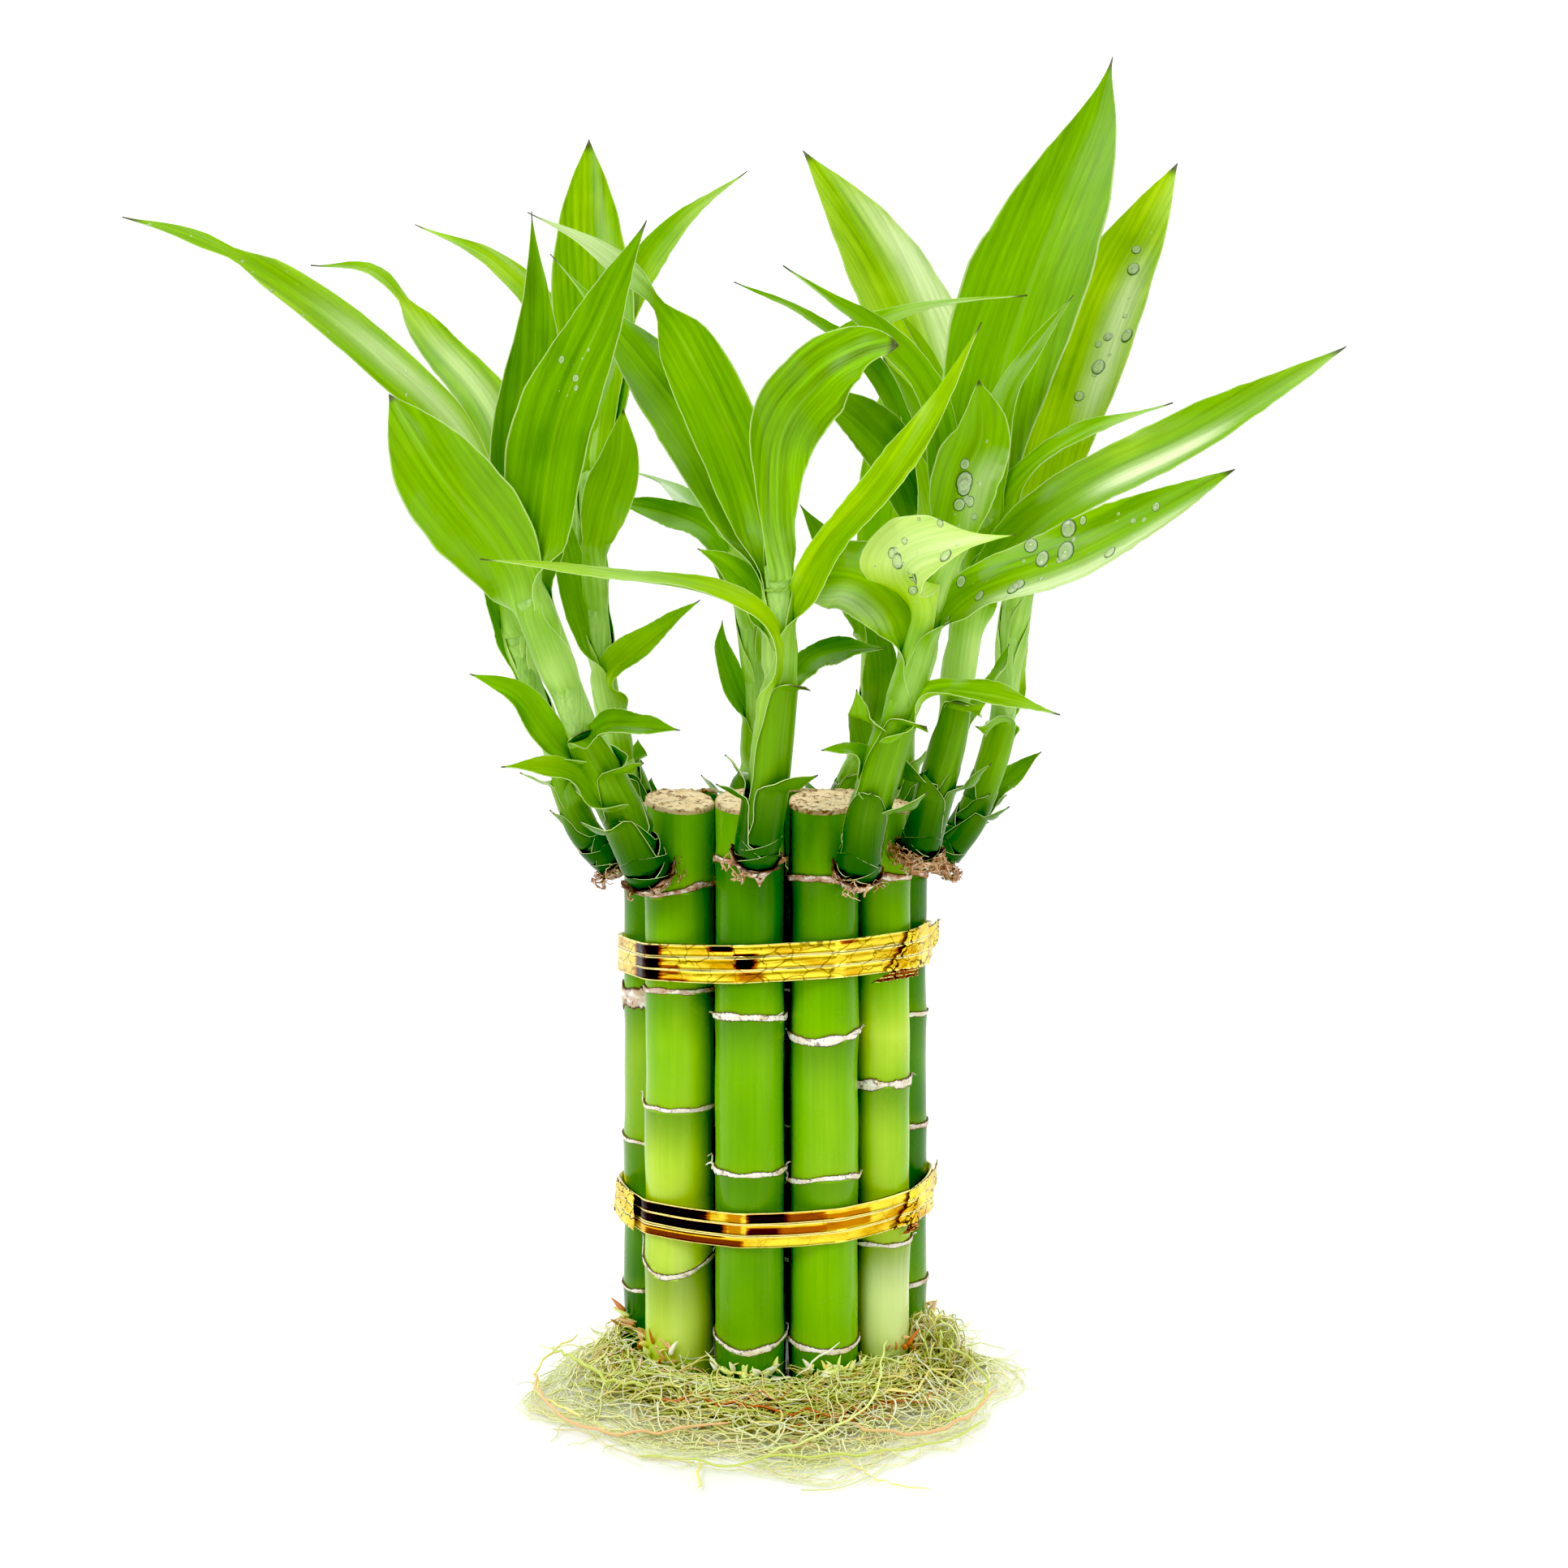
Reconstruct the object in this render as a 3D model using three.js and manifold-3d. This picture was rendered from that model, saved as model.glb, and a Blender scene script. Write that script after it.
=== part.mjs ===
// Lucky bamboo: ten rooted canes stand in one upright ring, held by two flat
// wraps of gold wire. Each cane has grown one leafy shoot from its outer side,
// just below the slanting cut, and the feet stand in a nest of their own roots.
// Millimetres, +Z up. The origin is on the floor, in the middle of the ring,
// and the front of the bundle is on the -Y side.

import * as THREE from 'three';
import { mergeVertices } from 'three/addons/utils/BufferGeometryUtils.js';
import Module from 'manifold-3d';

const wasm = await Module();
wasm.setup();

// Driving dimensions of the canes
const caneLength = 149.5;
const caneSides = 12;
const ringRadius = 31.9;
const cutSlope = 0.3;
const nodeRidge = 0.45;
const nodeHalfHeight = 1;
const clearance = 0.35;

// Driving dimensions of the leaves and their stems
const bladeEdge = 0.6;
const bladeMiddle = 0.9;
const longBlade = 80;
const shortBlade = 30;
const stemSides = 6;
const stemSteps = 6;
const narrowBlade = 10;
const backScales = 3;

// Driving dimensions of the gold ties
const tieThickness = 1.3;
const tieWraps = 3;
const upperTie = { height: 9.6, middle: 110.3, slope: 0.04, tabTurn: -24 };
const lowerTie = { height: 8.6, middle: 45.1, slope: 0.027, tabTurn: -12 };

// Driving dimensions of the root nest
const nestFront = 64;
const nestBack = 48;
const nestInner = 44.5;
const nestHeight = 7;
const nestRim = 1.6;
const longRoots = 18;
const strayRoots = 18;
const climbingRoots = 8;
const strandSteps = 6;

// Colours by eye
const caneGreens = [
  '#5f9a12', '#86bb1c', '#4f9c10', '#58a214', '#93bf3e',
  '#5d9420', '#4c8f16', '#559a18', '#4a8c14', '#5a9a1a',
];
const leafGreen = '#6fb52a';
const tieGold = '#d8a51c';
const rootCream = '#c9cf86';

// The canes, counted from the far left round by the front. Each has its angle
// from the front, its diameter and the heights of its leaf scars.
const canes = [
  { angle: -90, diameter: 18.8, scars: [20, 60, 98, 129] },
  { angle: -50.5, diameter: 18.2, scars: [31, 73, 102.5, 127] },
  { angle: -11.5, diameter: 17.8, scars: [17, 60, 97.5, 132.5] },
  { angle: 22.5, diameter: 17.8, scars: [16, 57, 92, 129] },
  { angle: 56, diameter: 17, scars: [37, 78, 131] },
  { angle: 91, diameter: 18.2, scars: [20, 63, 92, 131] },
  { angle: 127, diameter: 18.6, scars: [24, 61, 97, 129] },
  { angle: 163, diameter: 18.6, scars: [18, 56, 95, 128] },
  { angle: 198.5, diameter: 18.6, scars: [27, 66, 100, 128] },
  { angle: 234, diameter: 18.4, scars: [22, 58, 94, 128] },
];

// The shoots, in the order of their canes. A stem runs through its points, from
// its foot's radius to its top's. A blade or scale runs from its base to its
// tip. Its face is the way that its upper side looks, and its widest place is a
// share of its length. Twists are in degrees, at the base and at the tip. Back
// shoots take their scales from a rule instead.
const shoots = [
  {
    foot: 4.8,
    top: 3,
    stem: [[-43, -3, 132], [-52, -5, 143], [-59, -11, 165], [-66, -19, 187], [-69, -23, 208]],
    blades: [
      { width: 11, widest: 0.5, face: [-0.2, -1, 0], twist: [0, 30],
        points: [[-67, -24, 204], [-78, -28, 239], [-99, -32, 261], [-125, -36, 280], [-144, -38, 289], [-160, -40, 293]] },
      { width: 16, widest: 0.38, face: [0.4, -1, 0], twist: [0, 30],
        points: [[-67, -20, 204], [-74, -8, 248], [-94, 2, 275], [-111, 8, 295], [-131, 16, 300]] },
      { width: 8, face: [0.6, -1, 0.2], points: [[-63, -15, 178], [-69, -20, 192], [-72, -25, 201], [-73, -29, 211]] },
      { width: 16, points: [[-66, -20, 201], [-76, -6, 222], [-88, 12, 234], [-100, 30, 240]] },
    ],
    scales: [
      { width: 7, points: [[-53, -6, 144], [-58, -7, 150], [-62, -8, 154], [-68, -8, 157]] },
      { width: 9, points: [[-50, -7, 140], [-52, -11, 147], [-54, -13, 151], [-54, -14, 155]] },
      { width: 7, points: [[-48, -3, 137], [-53, -2, 139], [-57, -2, 143], [-61, -2, 147]] },
    ],
  },
  {
    foot: 6,
    top: 4.1,
    stem: [[-31, -31, 130], [-36, -37, 143], [-44, -42, 160], [-51, -48, 179], [-58, -53, 199]],
    blades: [
      { width: 23, widest: 0.5, stalk: 4, face: [0.2, -1, -0.1],
        points: [[-57, -52, 193], [-65, -58, 209], [-77, -63, 225], [-89, -62, 244]] },
      { width: 17, widest: 0.38, face: [0.5, -1, 0], points: [[-58, -50, 194], [-60, -48, 231], [-58, -45, 263], [-59, -44, 293]] },
      { width: 13, widest: 0.5, face: [-0.5, -1, 0.3], points: [[-57, -54, 196], [-51, -60, 235], [-39, -64, 262], [-29, -68, 282]] },
      { width: 9, face: [0.1, -0.8, 0.5], points: [[-47, -47, 162], [-40, -57, 167], [-31, -66, 167], [-21, -75, 166]] },
      { width: 8, face: [0.3, -1, 0.2], points: [[-49, -44, 158], [-56, -46, 168], [-62, -50, 176], [-72, -54, 180]] },
      { width: 7, face: [0.3, -0.8, 0.6], points: [[-41, -42, 146], [-47, -47, 155], [-55, -52, 158], [-64, -57, 158]] },
    ],
    scales: [
      { width: 9, points: [[-32, -37, 134], [-37, -43, 140], [-42, -46, 142], [-47, -48, 145]] },
      { width: 6, points: [[-38, -43, 147], [-37, -48, 154], [-34, -51, 158], [-31, -53, 159]] },
      { width: 9, points: [[-37, -38, 150], [-37, -40, 157], [-39, -41, 162], [-41, -42, 164]] },
    ],
  },
  {
    foot: 5.4,
    top: 3.2,
    stem: [[-5, -45, 135], [-3, -50, 146], [-1, -55, 160], [1, -60, 180], [1, -64, 198], [-1, -66, 212]],
    blades: [
      { width: 15, widest: 0.42, face: [-0.5, -1, 0.1], twist: [0, 30],
        points: [[0, -63, 200], [-7, -60, 226], [-18, -58, 249], [-31, -57, 264], [-43, -59, 275], [-57, -62, 286]] },
      { width: 19, widest: 0.5, face: [0.3, -1, 0.3], points: [[-1, -61, 198], [-15, -52, 231], [-34, -42, 259], [-56, -34, 286]] },
      { width: 13, widest: 0.65, face: [0.3, -1, 0.4], points: [[1, -66, 205], [1, -70, 230], [10, -75, 243], [19, -79, 248], [27, -84, 249]] },
      { width: 10, face: [-0.4, -1, 0.5], points: [[2, -62, 185], [11, -70, 205], [25, -76, 221], [37, -80, 239], [45, -84, 254]] },
      { width: 7, stalk: 7, face: [0.2, -0.8, 1], points: [[2, -58, 169], [0, -69, 188], [-12, -76, 196], [-36, -80, 200], [-64, -82, 203]] },
      { width: 7, face: [0.3, -0.8, 0.8], points: [[1, -63, 205], [3, -57, 236], [14, -55, 256], [32, -54, 266], [60, -52, 270]] },
      { width: 9, face: [-0.4, -1, 0.6], points: [[4, -57, 175], [9, -52, 183], [17, -48, 186], [27, -44, 187]] },
      { width: 9, face: [0.4, -1, 0.2], points: [[0, -63, 187], [-5, -61, 198], [-10, -60, 204], [-18, -58, 209]] },
      { width: 11, stalk: 9, face: [-0.2, -1, 0.2], points: [[-2, -52, 148], [0, -61, 161], [3, -65, 168], [8, -68, 175]] },
    ],
    scales: [
      { width: 11, points: [[-2, -50, 145], [0, -56, 150], [4, -60, 155], [9, -63, 157]] },
      { width: 7, points: [[-6, -49, 146], [-7, -52, 150], [-8, -52, 157], [-11, -51, 161]] },
      { width: 5, points: [[-6, -46, 144], [-8, -48, 150], [-10, -47, 153], [-13, -45, 155]] },
    ],
  },
  {
    foot: 5.3,
    top: 3.4,
    stem: [[20, -40, 131], [22, -46, 145], [27, -52, 163], [33, -58, 182], [38, -62, 200], [41, -64, 212]],
    blades: [
      { width: 18, widest: 0.42, stalk: 3, face: [0, -1, 0.3],
        points: [[31, -60, 190], [28, -69, 200], [32, -75, 206], [41, -80, 208], [53, -84, 208]] },
      { width: 22, widest: 0.55, face: [0.1, -1, 0.4], points: [[31, -57, 182], [28, -57, 194], [18, -53, 202], [4, -47, 202]] },
      { width: 16, widest: 0.5, face: [0, -0.9, 0.6], points: [[34, -61, 184], [45, -67, 197], [69, -74, 206], [101, -80, 223]] },
      { width: 13, widest: 0.5, face: [0, -1, 0.2], points: [[40, -64, 205], [43, -67, 222], [47, -69, 233], [46, -71, 245]] },
      { width: 9, face: [0.3, -1, 0.4], points: [[40, -62, 206], [37, -62, 240], [24, -65, 257], [13, -68, 264], [2, -70, 271]] },
      { width: 10, face: [0, -0.7, 0.8], points: [[28, -53, 162], [35, -62, 174], [46, -74, 174], [62, -84, 169]] },
      { width: 7, face: [0, -0.8, 0.8], points: [[24, -48, 150], [22, -50, 158], [18, -52, 162], [11, -54, 162]] },
      { width: 11, stalk: 9, face: [0, -1, 0.2], points: [[25, -49, 146], [27, -58, 153], [30, -61, 158], [34, -63, 164]] },
    ],
    scales: [
      { width: 10, points: [[23, -47, 139], [23, -54, 146], [22, -57, 150], [21, -58, 154]] },
      { width: 7, points: [[25, -44, 139], [29, -49, 146], [32, -52, 152], [34, -54, 157]] },
    ],
  },
  {
    foot: 5,
    top: 3.6,
    stem: [[36, -27, 136], [39, -32, 149], [43, -37, 166], [46, -39, 188], [50, -40, 209], [52, -41, 220]],
    blades: [
      { width: 33, widest: 0.48, face: [-0.3, -1, 0.2],
        points: [[52, -40, 211], [55, -30, 248], [65, -20, 281], [77, -10, 310], [87, 0, 334], [93, 8, 355]] },
      { width: 8, face: [-0.6, -1, 0], points: [[52, -41, 213], [55, -44, 244], [62, -45, 258], [72, -46, 272]] },
      { width: 9, face: [0, -0.7, 1], points: [[50, -41, 205], [58, -45, 226], [74, -48, 238], [95, -50, 245]] },
      { width: 17, widest: 0.5, face: [-0.1, -0.9, 0.8],
        points: [[47, -42, 191], [55, -50, 209], [73, -55, 223], [100, -59, 236], [132, -62, 255]] },
      { width: 7, points: [[45, -36, 165], [52, -31, 177], [57, -26, 183], [60, -22, 190]] },
      { width: 11, stalk: 8, face: [0, -1, 0.3], points: [[41, -34, 150], [42, -43, 161], [45, -45, 168], [51, -47, 174]] },
    ],
    scales: [
      { width: 9, points: [[37, -30, 140], [38, -37, 147], [37, -40, 153], [36, -41, 157]] },
      { width: 8, points: [[40, -30, 141], [47, -35, 150], [50, -38, 156], [53, -40, 159]] },
    ],
  },
  {
    foot: 4.8,
    top: 3.7,
    stem: [[43.5, 0, 133], [53, 0, 146], [60, -2, 166], [63, -4, 190], [65, -5, 206], [68, -6, 220]],
    blades: [
      { width: 24, widest: 0.5, face: [-0.2, -1, 0.1], points: [[67, -6, 210], [74, -2, 240], [90, 9, 285], [104, 17, 312], [115, 24, 332]] },
      { width: 6, face: [1, -0.6, 0.2], points: [[61, -1, 167], [65, 4, 178], [68, 8, 187], [70, 12, 198]] },
      { width: 10, stalk: 7, face: [0.2, -1, 0.2], points: [[57, -2, 150], [60, -8, 158], [58, -13, 166], [52, -17, 169]] },
      { width: 8, face: [-0.4, -1, 0.5], points: [[55, 2, 144], [59, 6, 151], [66, 9, 157], [74, 12, 163]] },
      { width: 9, face: [0, -0.8, 0.9], points: [[67, -7, 212], [75, -12, 223], [84, -18, 229], [98, -24, 233]] },
      { width: 18, points: [[65, -4, 203], [77, 20, 240], [87, 42, 262], [96, 62, 276]] },
    ],
    scales: [
      { width: 8, points: [[51, 1, 138], [55, 5, 144], [60, 8, 148], [64, 10, 151]] },
      { width: 7, points: [[50, 1, 136], [54, -4, 141], [58, -7, 145], [62, -9, 148]] },
    ],
  },
  {
    foot: 5,
    top: 3.4,
    stem: [[36, 28, 133], [37, 33, 155], [38, 36, 180], [43, 36, 206], [47, 33, 238]],
    blades: [
      { width: 30, widest: 0.48, face: [0.3, -1, 0.1], points: [[47, 33, 229], [45, 39, 271], [32, 47, 309], [8, 54, 348]] },
      { width: 8, face: [0.4, -1, 0.5], points: [[46, 33, 229], [31, 30, 270], [9, 24, 288], [-12, 18, 296]] },
      { width: 9, face: [0.2, -1, 0.4], points: [[47, 32, 229], [47, 22, 258], [42, 14, 274], [33, 8, 286]] },
      { width: 18, widest: 0.55, face: [0.2, -1, 0.2], points: [[45, 34, 220], [36, 24, 242], [25, 16, 254], [11, 8, 263]] },
      { width: 10, face: [0.2, -1, 0.3], points: [[46, 32, 227], [42, 15, 252], [36, 6, 261], [29, -2, 269]] },
      { width: 12, face: [0.4, -1, 0], points: [[44, 35, 208], [45, 24, 225], [42, 16, 237], [38, 8, 248]] },
      { width: 20, points: [[44, 36, 203], [58, 52, 236], [72, 72, 262], [86, 90, 278]] },
    ],
  },
  {
    foot: 5,
    top: 3.2,
    stem: [[11, 44, 132], [19, 49, 148], [26, 53, 164], [29, 55, 182], [30, 54, 210]],
    blades: [
      { width: 8, points: [[27, 53, 158], [26, 48, 167], [24, 45, 174], [25, 43, 181]] },
      { width: 12, face: [0.2, -1, 0.1], points: [[29, 54, 169], [31, 47, 182], [30, 41, 195], [25, 37, 207]] },
      { width: 14, face: [0.3, -1, 0.3], points: [[30, 54, 195], [24, 48, 210], [15, 44, 225], [7, 40, 237]] },
      { width: 18, points: [[30, 54, 190], [40, 72, 218], [52, 92, 236], [64, 110, 244]] },
      { width: 18, face: [0, -1, 0.3], points: [[30, 54, 200], [34, 66, 238], [36, 80, 270], [40, 96, 296]] },
    ],
  },
  {
    foot: 5,
    top: 3.2,
    stem: [[-17, 42, 132], [-11, 47, 149], [-7, 50, 164], [-7, 52, 190], [-12, 49, 226]],
    blades: [
      { width: 12, face: [0.3, -1, 0.4], points: [[-12, 50, 216], [-19, 53, 229], [-32, 59, 237], [-54, 64, 243]] },
      { width: 9, face: [0.6, -1, 0], points: [[-12, 49, 220], [-18, 45, 240], [-26, 43, 256], [-37, 41, 274]] },
      { width: 9, face: [0.6, -1, 0], points: [[-7, 51, 171], [-13, 54, 184], [-17, 58, 195], [-17, 62, 205]] },
      { width: 18, points: [[-8, 51, 203], [-20, 68, 232], [-34, 86, 250], [-50, 102, 260]] },
      { width: 16, points: [[-9, 51, 210], [-6, 70, 232], [-2, 90, 244], [4, 108, 249]] },
    ],
  },
  {
    foot: 5,
    top: 3.4,
    stem: [[-37, 24, 132], [-40, 28, 149], [-46, 29, 165], [-50, 26, 190], [-53, 22, 220], [-53, 20, 243]],
    blades: [
      { width: 24, widest: 0.52, face: [0.1, -1, 0.1], points: [[-53, 21, 232], [-52, 25, 274], [-54, 29, 310], [-55, 34, 343]] },
      { width: 14, face: [-0.3, -1, 0.4], points: [[-53, 20, 235], [-47, 28, 283], [-31, 40, 318], [-9, 50, 340]] },
      { width: 11, face: [0.3, -1, 0.4], points: [[-53, 21, 234], [-63, 26, 281], [-81, 30, 305], [-106, 34, 318]] },
      { width: 14, widest: 0.5, stalk: 3, face: [0.2, -1, 0.1], points: [[-52, 21, 217], [-48, 11, 230], [-43, 3, 242], [-41, -3, 255]] },
      { width: 10, face: [0.4, -1, 0], points: [[-50, 27, 184], [-55, 22, 201], [-60, 17, 222], [-64, 11, 243]] },
      { width: 10, face: [-0.4, -1, 0.4], points: [[-48, 27, 174], [-48, 22, 185], [-37, 16, 194], [-21, 9, 205]] },
      { width: 18, points: [[-51, 23, 203], [-62, 40, 232], [-74, 60, 250], [-88, 78, 258]] },
    ],
  },
];

// Seeded random numbers from 0 to 1
function seededRandom(seed) {
  let state = seed;
  return () => {
    state = (state * 1664525 + 1013904223) % 4294967296;
    return state / 4294967296;
  };
}

function vector(point) {
  return new THREE.Vector3(point[0], point[1], point[2]);
}

// A smooth curve through points, read by its share of the length
function curveThrough(points) {
  return new THREE.CatmullRomCurve3(points.map(vector), false, 'catmullrom', 0.5);
}

// A closed solid from rings of points, each counter-clockwise about the way to
// the next ring. The flipped sides take the other diagonal, so that a thin
// waved blade is split alike on both faces.
function loft(rings, { looped = false, flipped = [] } = {}) {
  const count = rings[0].length;
  const positions = rings.flat().flatMap((point) => [point.x, point.y, point.z]);
  const indices = [];
  const bands = looped ? rings.length : rings.length - 1;
  for (let band = 0; band < bands; band++) {
    const here = band * count;
    const next = ((band + 1) % rings.length) * count;
    for (let side = 0; side < count; side++) {
      const a = here + side;
      const b = here + (side + 1) % count;
      const c = next + (side + 1) % count;
      const d = next + side;
      if (flipped.includes(side)) indices.push(a, b, d, b, c, d);
      else indices.push(a, b, c, a, c, d);
    }
  }
  if (!looped) {
    const last = (rings.length - 1) * count;
    for (let side = 1; side < count - 1; side++) {
      indices.push(0, side + 1, side);
      indices.push(last, last + side, last + side + 1);
    }
  }
  const geometry = new THREE.BufferGeometry();
  geometry.setAttribute('position', new THREE.Float32BufferAttribute(positions, 3));
  geometry.setIndex(indices);
  return geometry;
}

// Joining and cutting

function toSolid(geometry) {
  const bare = geometry.clone();
  bare.deleteAttribute('normal');
  bare.deleteAttribute('uv');
  const merged = mergeVertices(bare);
  const vertProperties = new Float32Array(merged.attributes.position.array);
  const triVerts = new Uint32Array(merged.index.array);
  return new wasm.Manifold(new wasm.Mesh({ numProp: 3, vertProperties, triVerts }));
}

function fromSolid(solid) {
  const mesh = solid.getMesh();
  const geometry = new THREE.BufferGeometry();
  geometry.setAttribute('position', new THREE.BufferAttribute(mesh.vertProperties, 3));
  geometry.setIndex(new THREE.BufferAttribute(mesh.triVerts, 1));
  return geometry;
}

function joinAll(geometries) {
  return geometries.map(toSolid).reduce((whole, piece) => whole.add(piece));
}

// The one main body of a joined solid: a hollow sealed by joining is filled,
// and a loose scrap left by a cut is dropped
function mainBody(solid) {
  return solid.decompose().reduce((main, piece) => (piece.volume() > main.volume() ? piece : main));
}

// A tube of even sides along a curve, its radius read from a share of the length
function tube(curve, steps, sides, radiusAt) {
  const frames = curve.computeFrenetFrames(steps, false);
  const rings = [];
  for (let step = 0; step <= steps; step++) {
    const share = step / steps;
    const centre = curve.getPointAt(share);
    const ring = [];
    for (let side = 0; side < sides; side++) {
      const turn = (side / sides) * Math.PI * 2;
      ring.push(centre.clone()
        .addScaledVector(frames.normals[step], Math.cos(turn) * radiusAt(share))
        .addScaledVector(frames.binormals[step], Math.sin(turn) * radiusAt(share)));
    }
    rings.push(ring);
  }
  return loft(rings);
}

// Canes

function caneCentre(cane) {
  const turn = THREE.MathUtils.degToRad(cane.angle);
  return new THREE.Vector3(Math.sin(turn) * ringRadius, -Math.cos(turn) * ringRadius, 0);
}

// One ring of a cane's outline, level or cut on a slope that falls outwards
function caneRing(radius, height, outward, slope) {
  const ring = [];
  for (let side = 0; side < caneSides; side++) {
    const turn = ((side + 0.5) / caneSides) * Math.PI * 2;
    const point = new THREE.Vector3(Math.cos(turn) * radius, Math.sin(turn) * radius, 0);
    point.z = height - slope * point.dot(outward);
    ring.push(point);
  }
  return ring;
}

function caneGeometry(cane) {
  const outward = caneCentre(cane).normalize();
  const radius = cane.diameter / 2;
  const rings = [caneRing(radius, 0, outward, 0)];
  for (const scar of cane.scars) {
    rings.push(caneRing(radius, scar - nodeHalfHeight, outward, 0));
    rings.push(caneRing(radius + nodeRidge, scar, outward, 0));
    rings.push(caneRing(radius, scar + nodeHalfHeight, outward, 0));
  }
  rings.push(caneRing(radius, caneLength, outward, cutSlope));
  return loft(rings);
}

// The room that a cane takes, with a margin round it, from below the floor up
function caneRoom(cane, margin) {
  const radius = cane.diameter / 2 + nodeRidge + margin;
  const bottom = caneRing(radius, -margin, new THREE.Vector3(), 0);
  const top = caneRing(radius, caneLength + radius * cutSlope + margin, new THREE.Vector3(), 0);
  return loft([bottom, top]).translate(...caneCentre(cane).toArray());
}

// Leaves

// Half the width of a blade at a share of its length
function halfWidthAt(share, { width, widest = 0.42, stalk = 5 }) {
  const rise = 2.2 * widest;
  const fall = 2.2 - rise;
  const top = widest ** rise * (1 - widest) ** fall;
  const blade = (width / 2) * (share ** rise * (1 - share) ** fall) / top;
  return Math.max(blade + (stalk / 2) * (1 - share) ** 6, 0.4);
}

// The upper face of a blade looks up and back to its stem where no face is given
function bladeFace(blade) {
  if (blade.face) return vector(blade.face);
  const chord = vector(blade.points.at(-1)).sub(vector(blade.points[0]));
  chord.z = 0;
  return new THREE.Vector3(0, 0, 1).sub(chord.normalize());
}

function bladeGeometry(blade) {
  const flat = blade.flat || blade.width < narrowBlade;
  const { twist = [0, 0], cup = flat ? 0 : 0.28, wave = 0.8 } = blade;
  const curve = curveThrough(blade.points);
  const length = curve.getLength();
  const steps = length > longBlade ? 7 : length > shortBlade ? 5 : 3;
  const face = bladeFace(blade);
  const rings = [];
  for (let step = 0; step <= steps; step++) {
    const share = step / steps;
    const centre = curve.getPointAt(share);
    const along = curve.getTangentAt(share);
    const turn = THREE.MathUtils.degToRad(THREE.MathUtils.lerp(twist[0], twist[1], share));
    const up = face.clone().addScaledVector(along, -face.dot(along)).normalize().applyAxisAngle(along, turn);
    const sideways = new THREE.Vector3().crossVectors(along, up);
    const half = halfWidthAt(share, blade);
    const swell = 4 * share * (1 - share) * wave;
    const ripple = [Math.sin(share * 11 + length), Math.sin(share * 13 + length * 2)];
    const corner = (side, lift) => centre.clone().addScaledVector(sideways, side * half).addScaledVector(up, lift);
    const first = cup * half + swell * ripple[0];
    const second = cup * half + swell * ripple[1];
    const margins = [
      corner(1, first + bladeEdge / 2),
      corner(1, first - bladeEdge / 2),
      corner(-1, second - bladeEdge / 2),
      corner(-1, second + bladeEdge / 2),
    ];
    if (flat) rings.push(margins);
    else rings.push([corner(0, bladeMiddle / 2), margins[0], margins[1], corner(0, -bladeMiddle / 2), margins[2], margins[3]]);
  }
  return loft(rings, { flipped: flat ? [1] : [2, 3] });
}

// Shoots

// A stem keeps its foot's width among the scales, then draws in
function stemRadiusAt(share, shoot) {
  return THREE.MathUtils.lerp(shoot.foot, shoot.top, THREE.MathUtils.smoothstep(share, 0.15, 0.75));
}

// Pointed scales climb the outer side of a back shoot's foot in two rows
function ruledScales(shoot, cane, random) {
  const curve = curveThrough(shoot.stem);
  const scales = [];
  for (let count = 0; count < backScales; count++) {
    const share = 0.06 + count * 0.06;
    const centre = curve.getPointAt(share);
    const side = count % 2 ? 1 : -1;
    const turn = THREE.MathUtils.degToRad(side * (50 + random() * 20));
    const outward = caneCentre(cane).normalize().applyAxisAngle(new THREE.Vector3(0, 0, 1), turn);
    const size = 13 + random() * 5;
    const place = (out, up) => {
      const point = centre.clone().addScaledVector(outward, shoot.foot + out);
      point.z += up;
      return point.toArray();
    };
    scales.push({
      width: 8 + random() * 2,
      points: [place(-2.4, -2), place(0.2, size * 0.35), place(1.6, size * 0.7), place(5, size)],
    });
  }
  return scales;
}

// A scale is a short flat blade, broad where it clasps the stem
function scaleBlade(scale) {
  return { ...scale, stalk: scale.width * 0.75, widest: 0.34, flat: true, cup: 0, wave: 0 };
}

function shootGeometry(shoot, index) {
  const scales = shoot.scales ?? ruledScales(shoot, canes[index], seededRandom(100 + index));
  const stem = tube(curveThrough(shoot.stem), stemSteps, stemSides, (share) => stemRadiusAt(share, shoot));
  const blades = [...shoot.blades, ...scales.map(scaleBlade)];
  const whole = joinAll([stem, ...blades.map(bladeGeometry)]);
  return fromSolid(mainBody(whole.subtract(toSolid(caneRoom(canes[index], clearance)))));
}

// Gold ties

// The outline of the belt round the bundle: an arc round each cane, joined by
// straight runs, a given distance off the canes
function beltOutline(distance) {
  const arcSteps = 2;
  const outline = [];
  canes.forEach((cane, index) => {
    const before = caneCentre(canes.at(index - 1)).sub(caneCentre(cane));
    const after = caneCentre(canes[(index + 1) % canes.length]).sub(caneCentre(cane));
    const start = Math.atan2(before.y, before.x) + Math.PI / 2;
    const end = Math.atan2(after.y, after.x) - Math.PI / 2;
    const sweep = THREE.MathUtils.euclideanModulo(end - start, Math.PI * 2);
    for (let step = 0; step <= arcSteps; step++) {
      const turn = start + (sweep * step) / arcSteps;
      const reach = cane.diameter / 2 + distance;
      outline.push(caneCentre(cane).add(new THREE.Vector3(Math.cos(turn) * reach, Math.sin(turn) * reach, 0)));
    }
  });
  return outline;
}

// The section of a tie: flat inside, one ridge outside for each wrap
function tieSection(height) {
  const wrapHeight = height / tieWraps;
  const section = [[0, height / 2]];
  for (let wrap = 0; wrap < tieWraps; wrap++) {
    const top = height / 2 - wrap * wrapHeight;
    if (wrap > 0) section.push([tieThickness * 0.5, top]);
    section.push([tieThickness, top - wrapHeight / 2]);
  }
  section.push([0, -height / 2]);
  return section;
}

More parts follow.
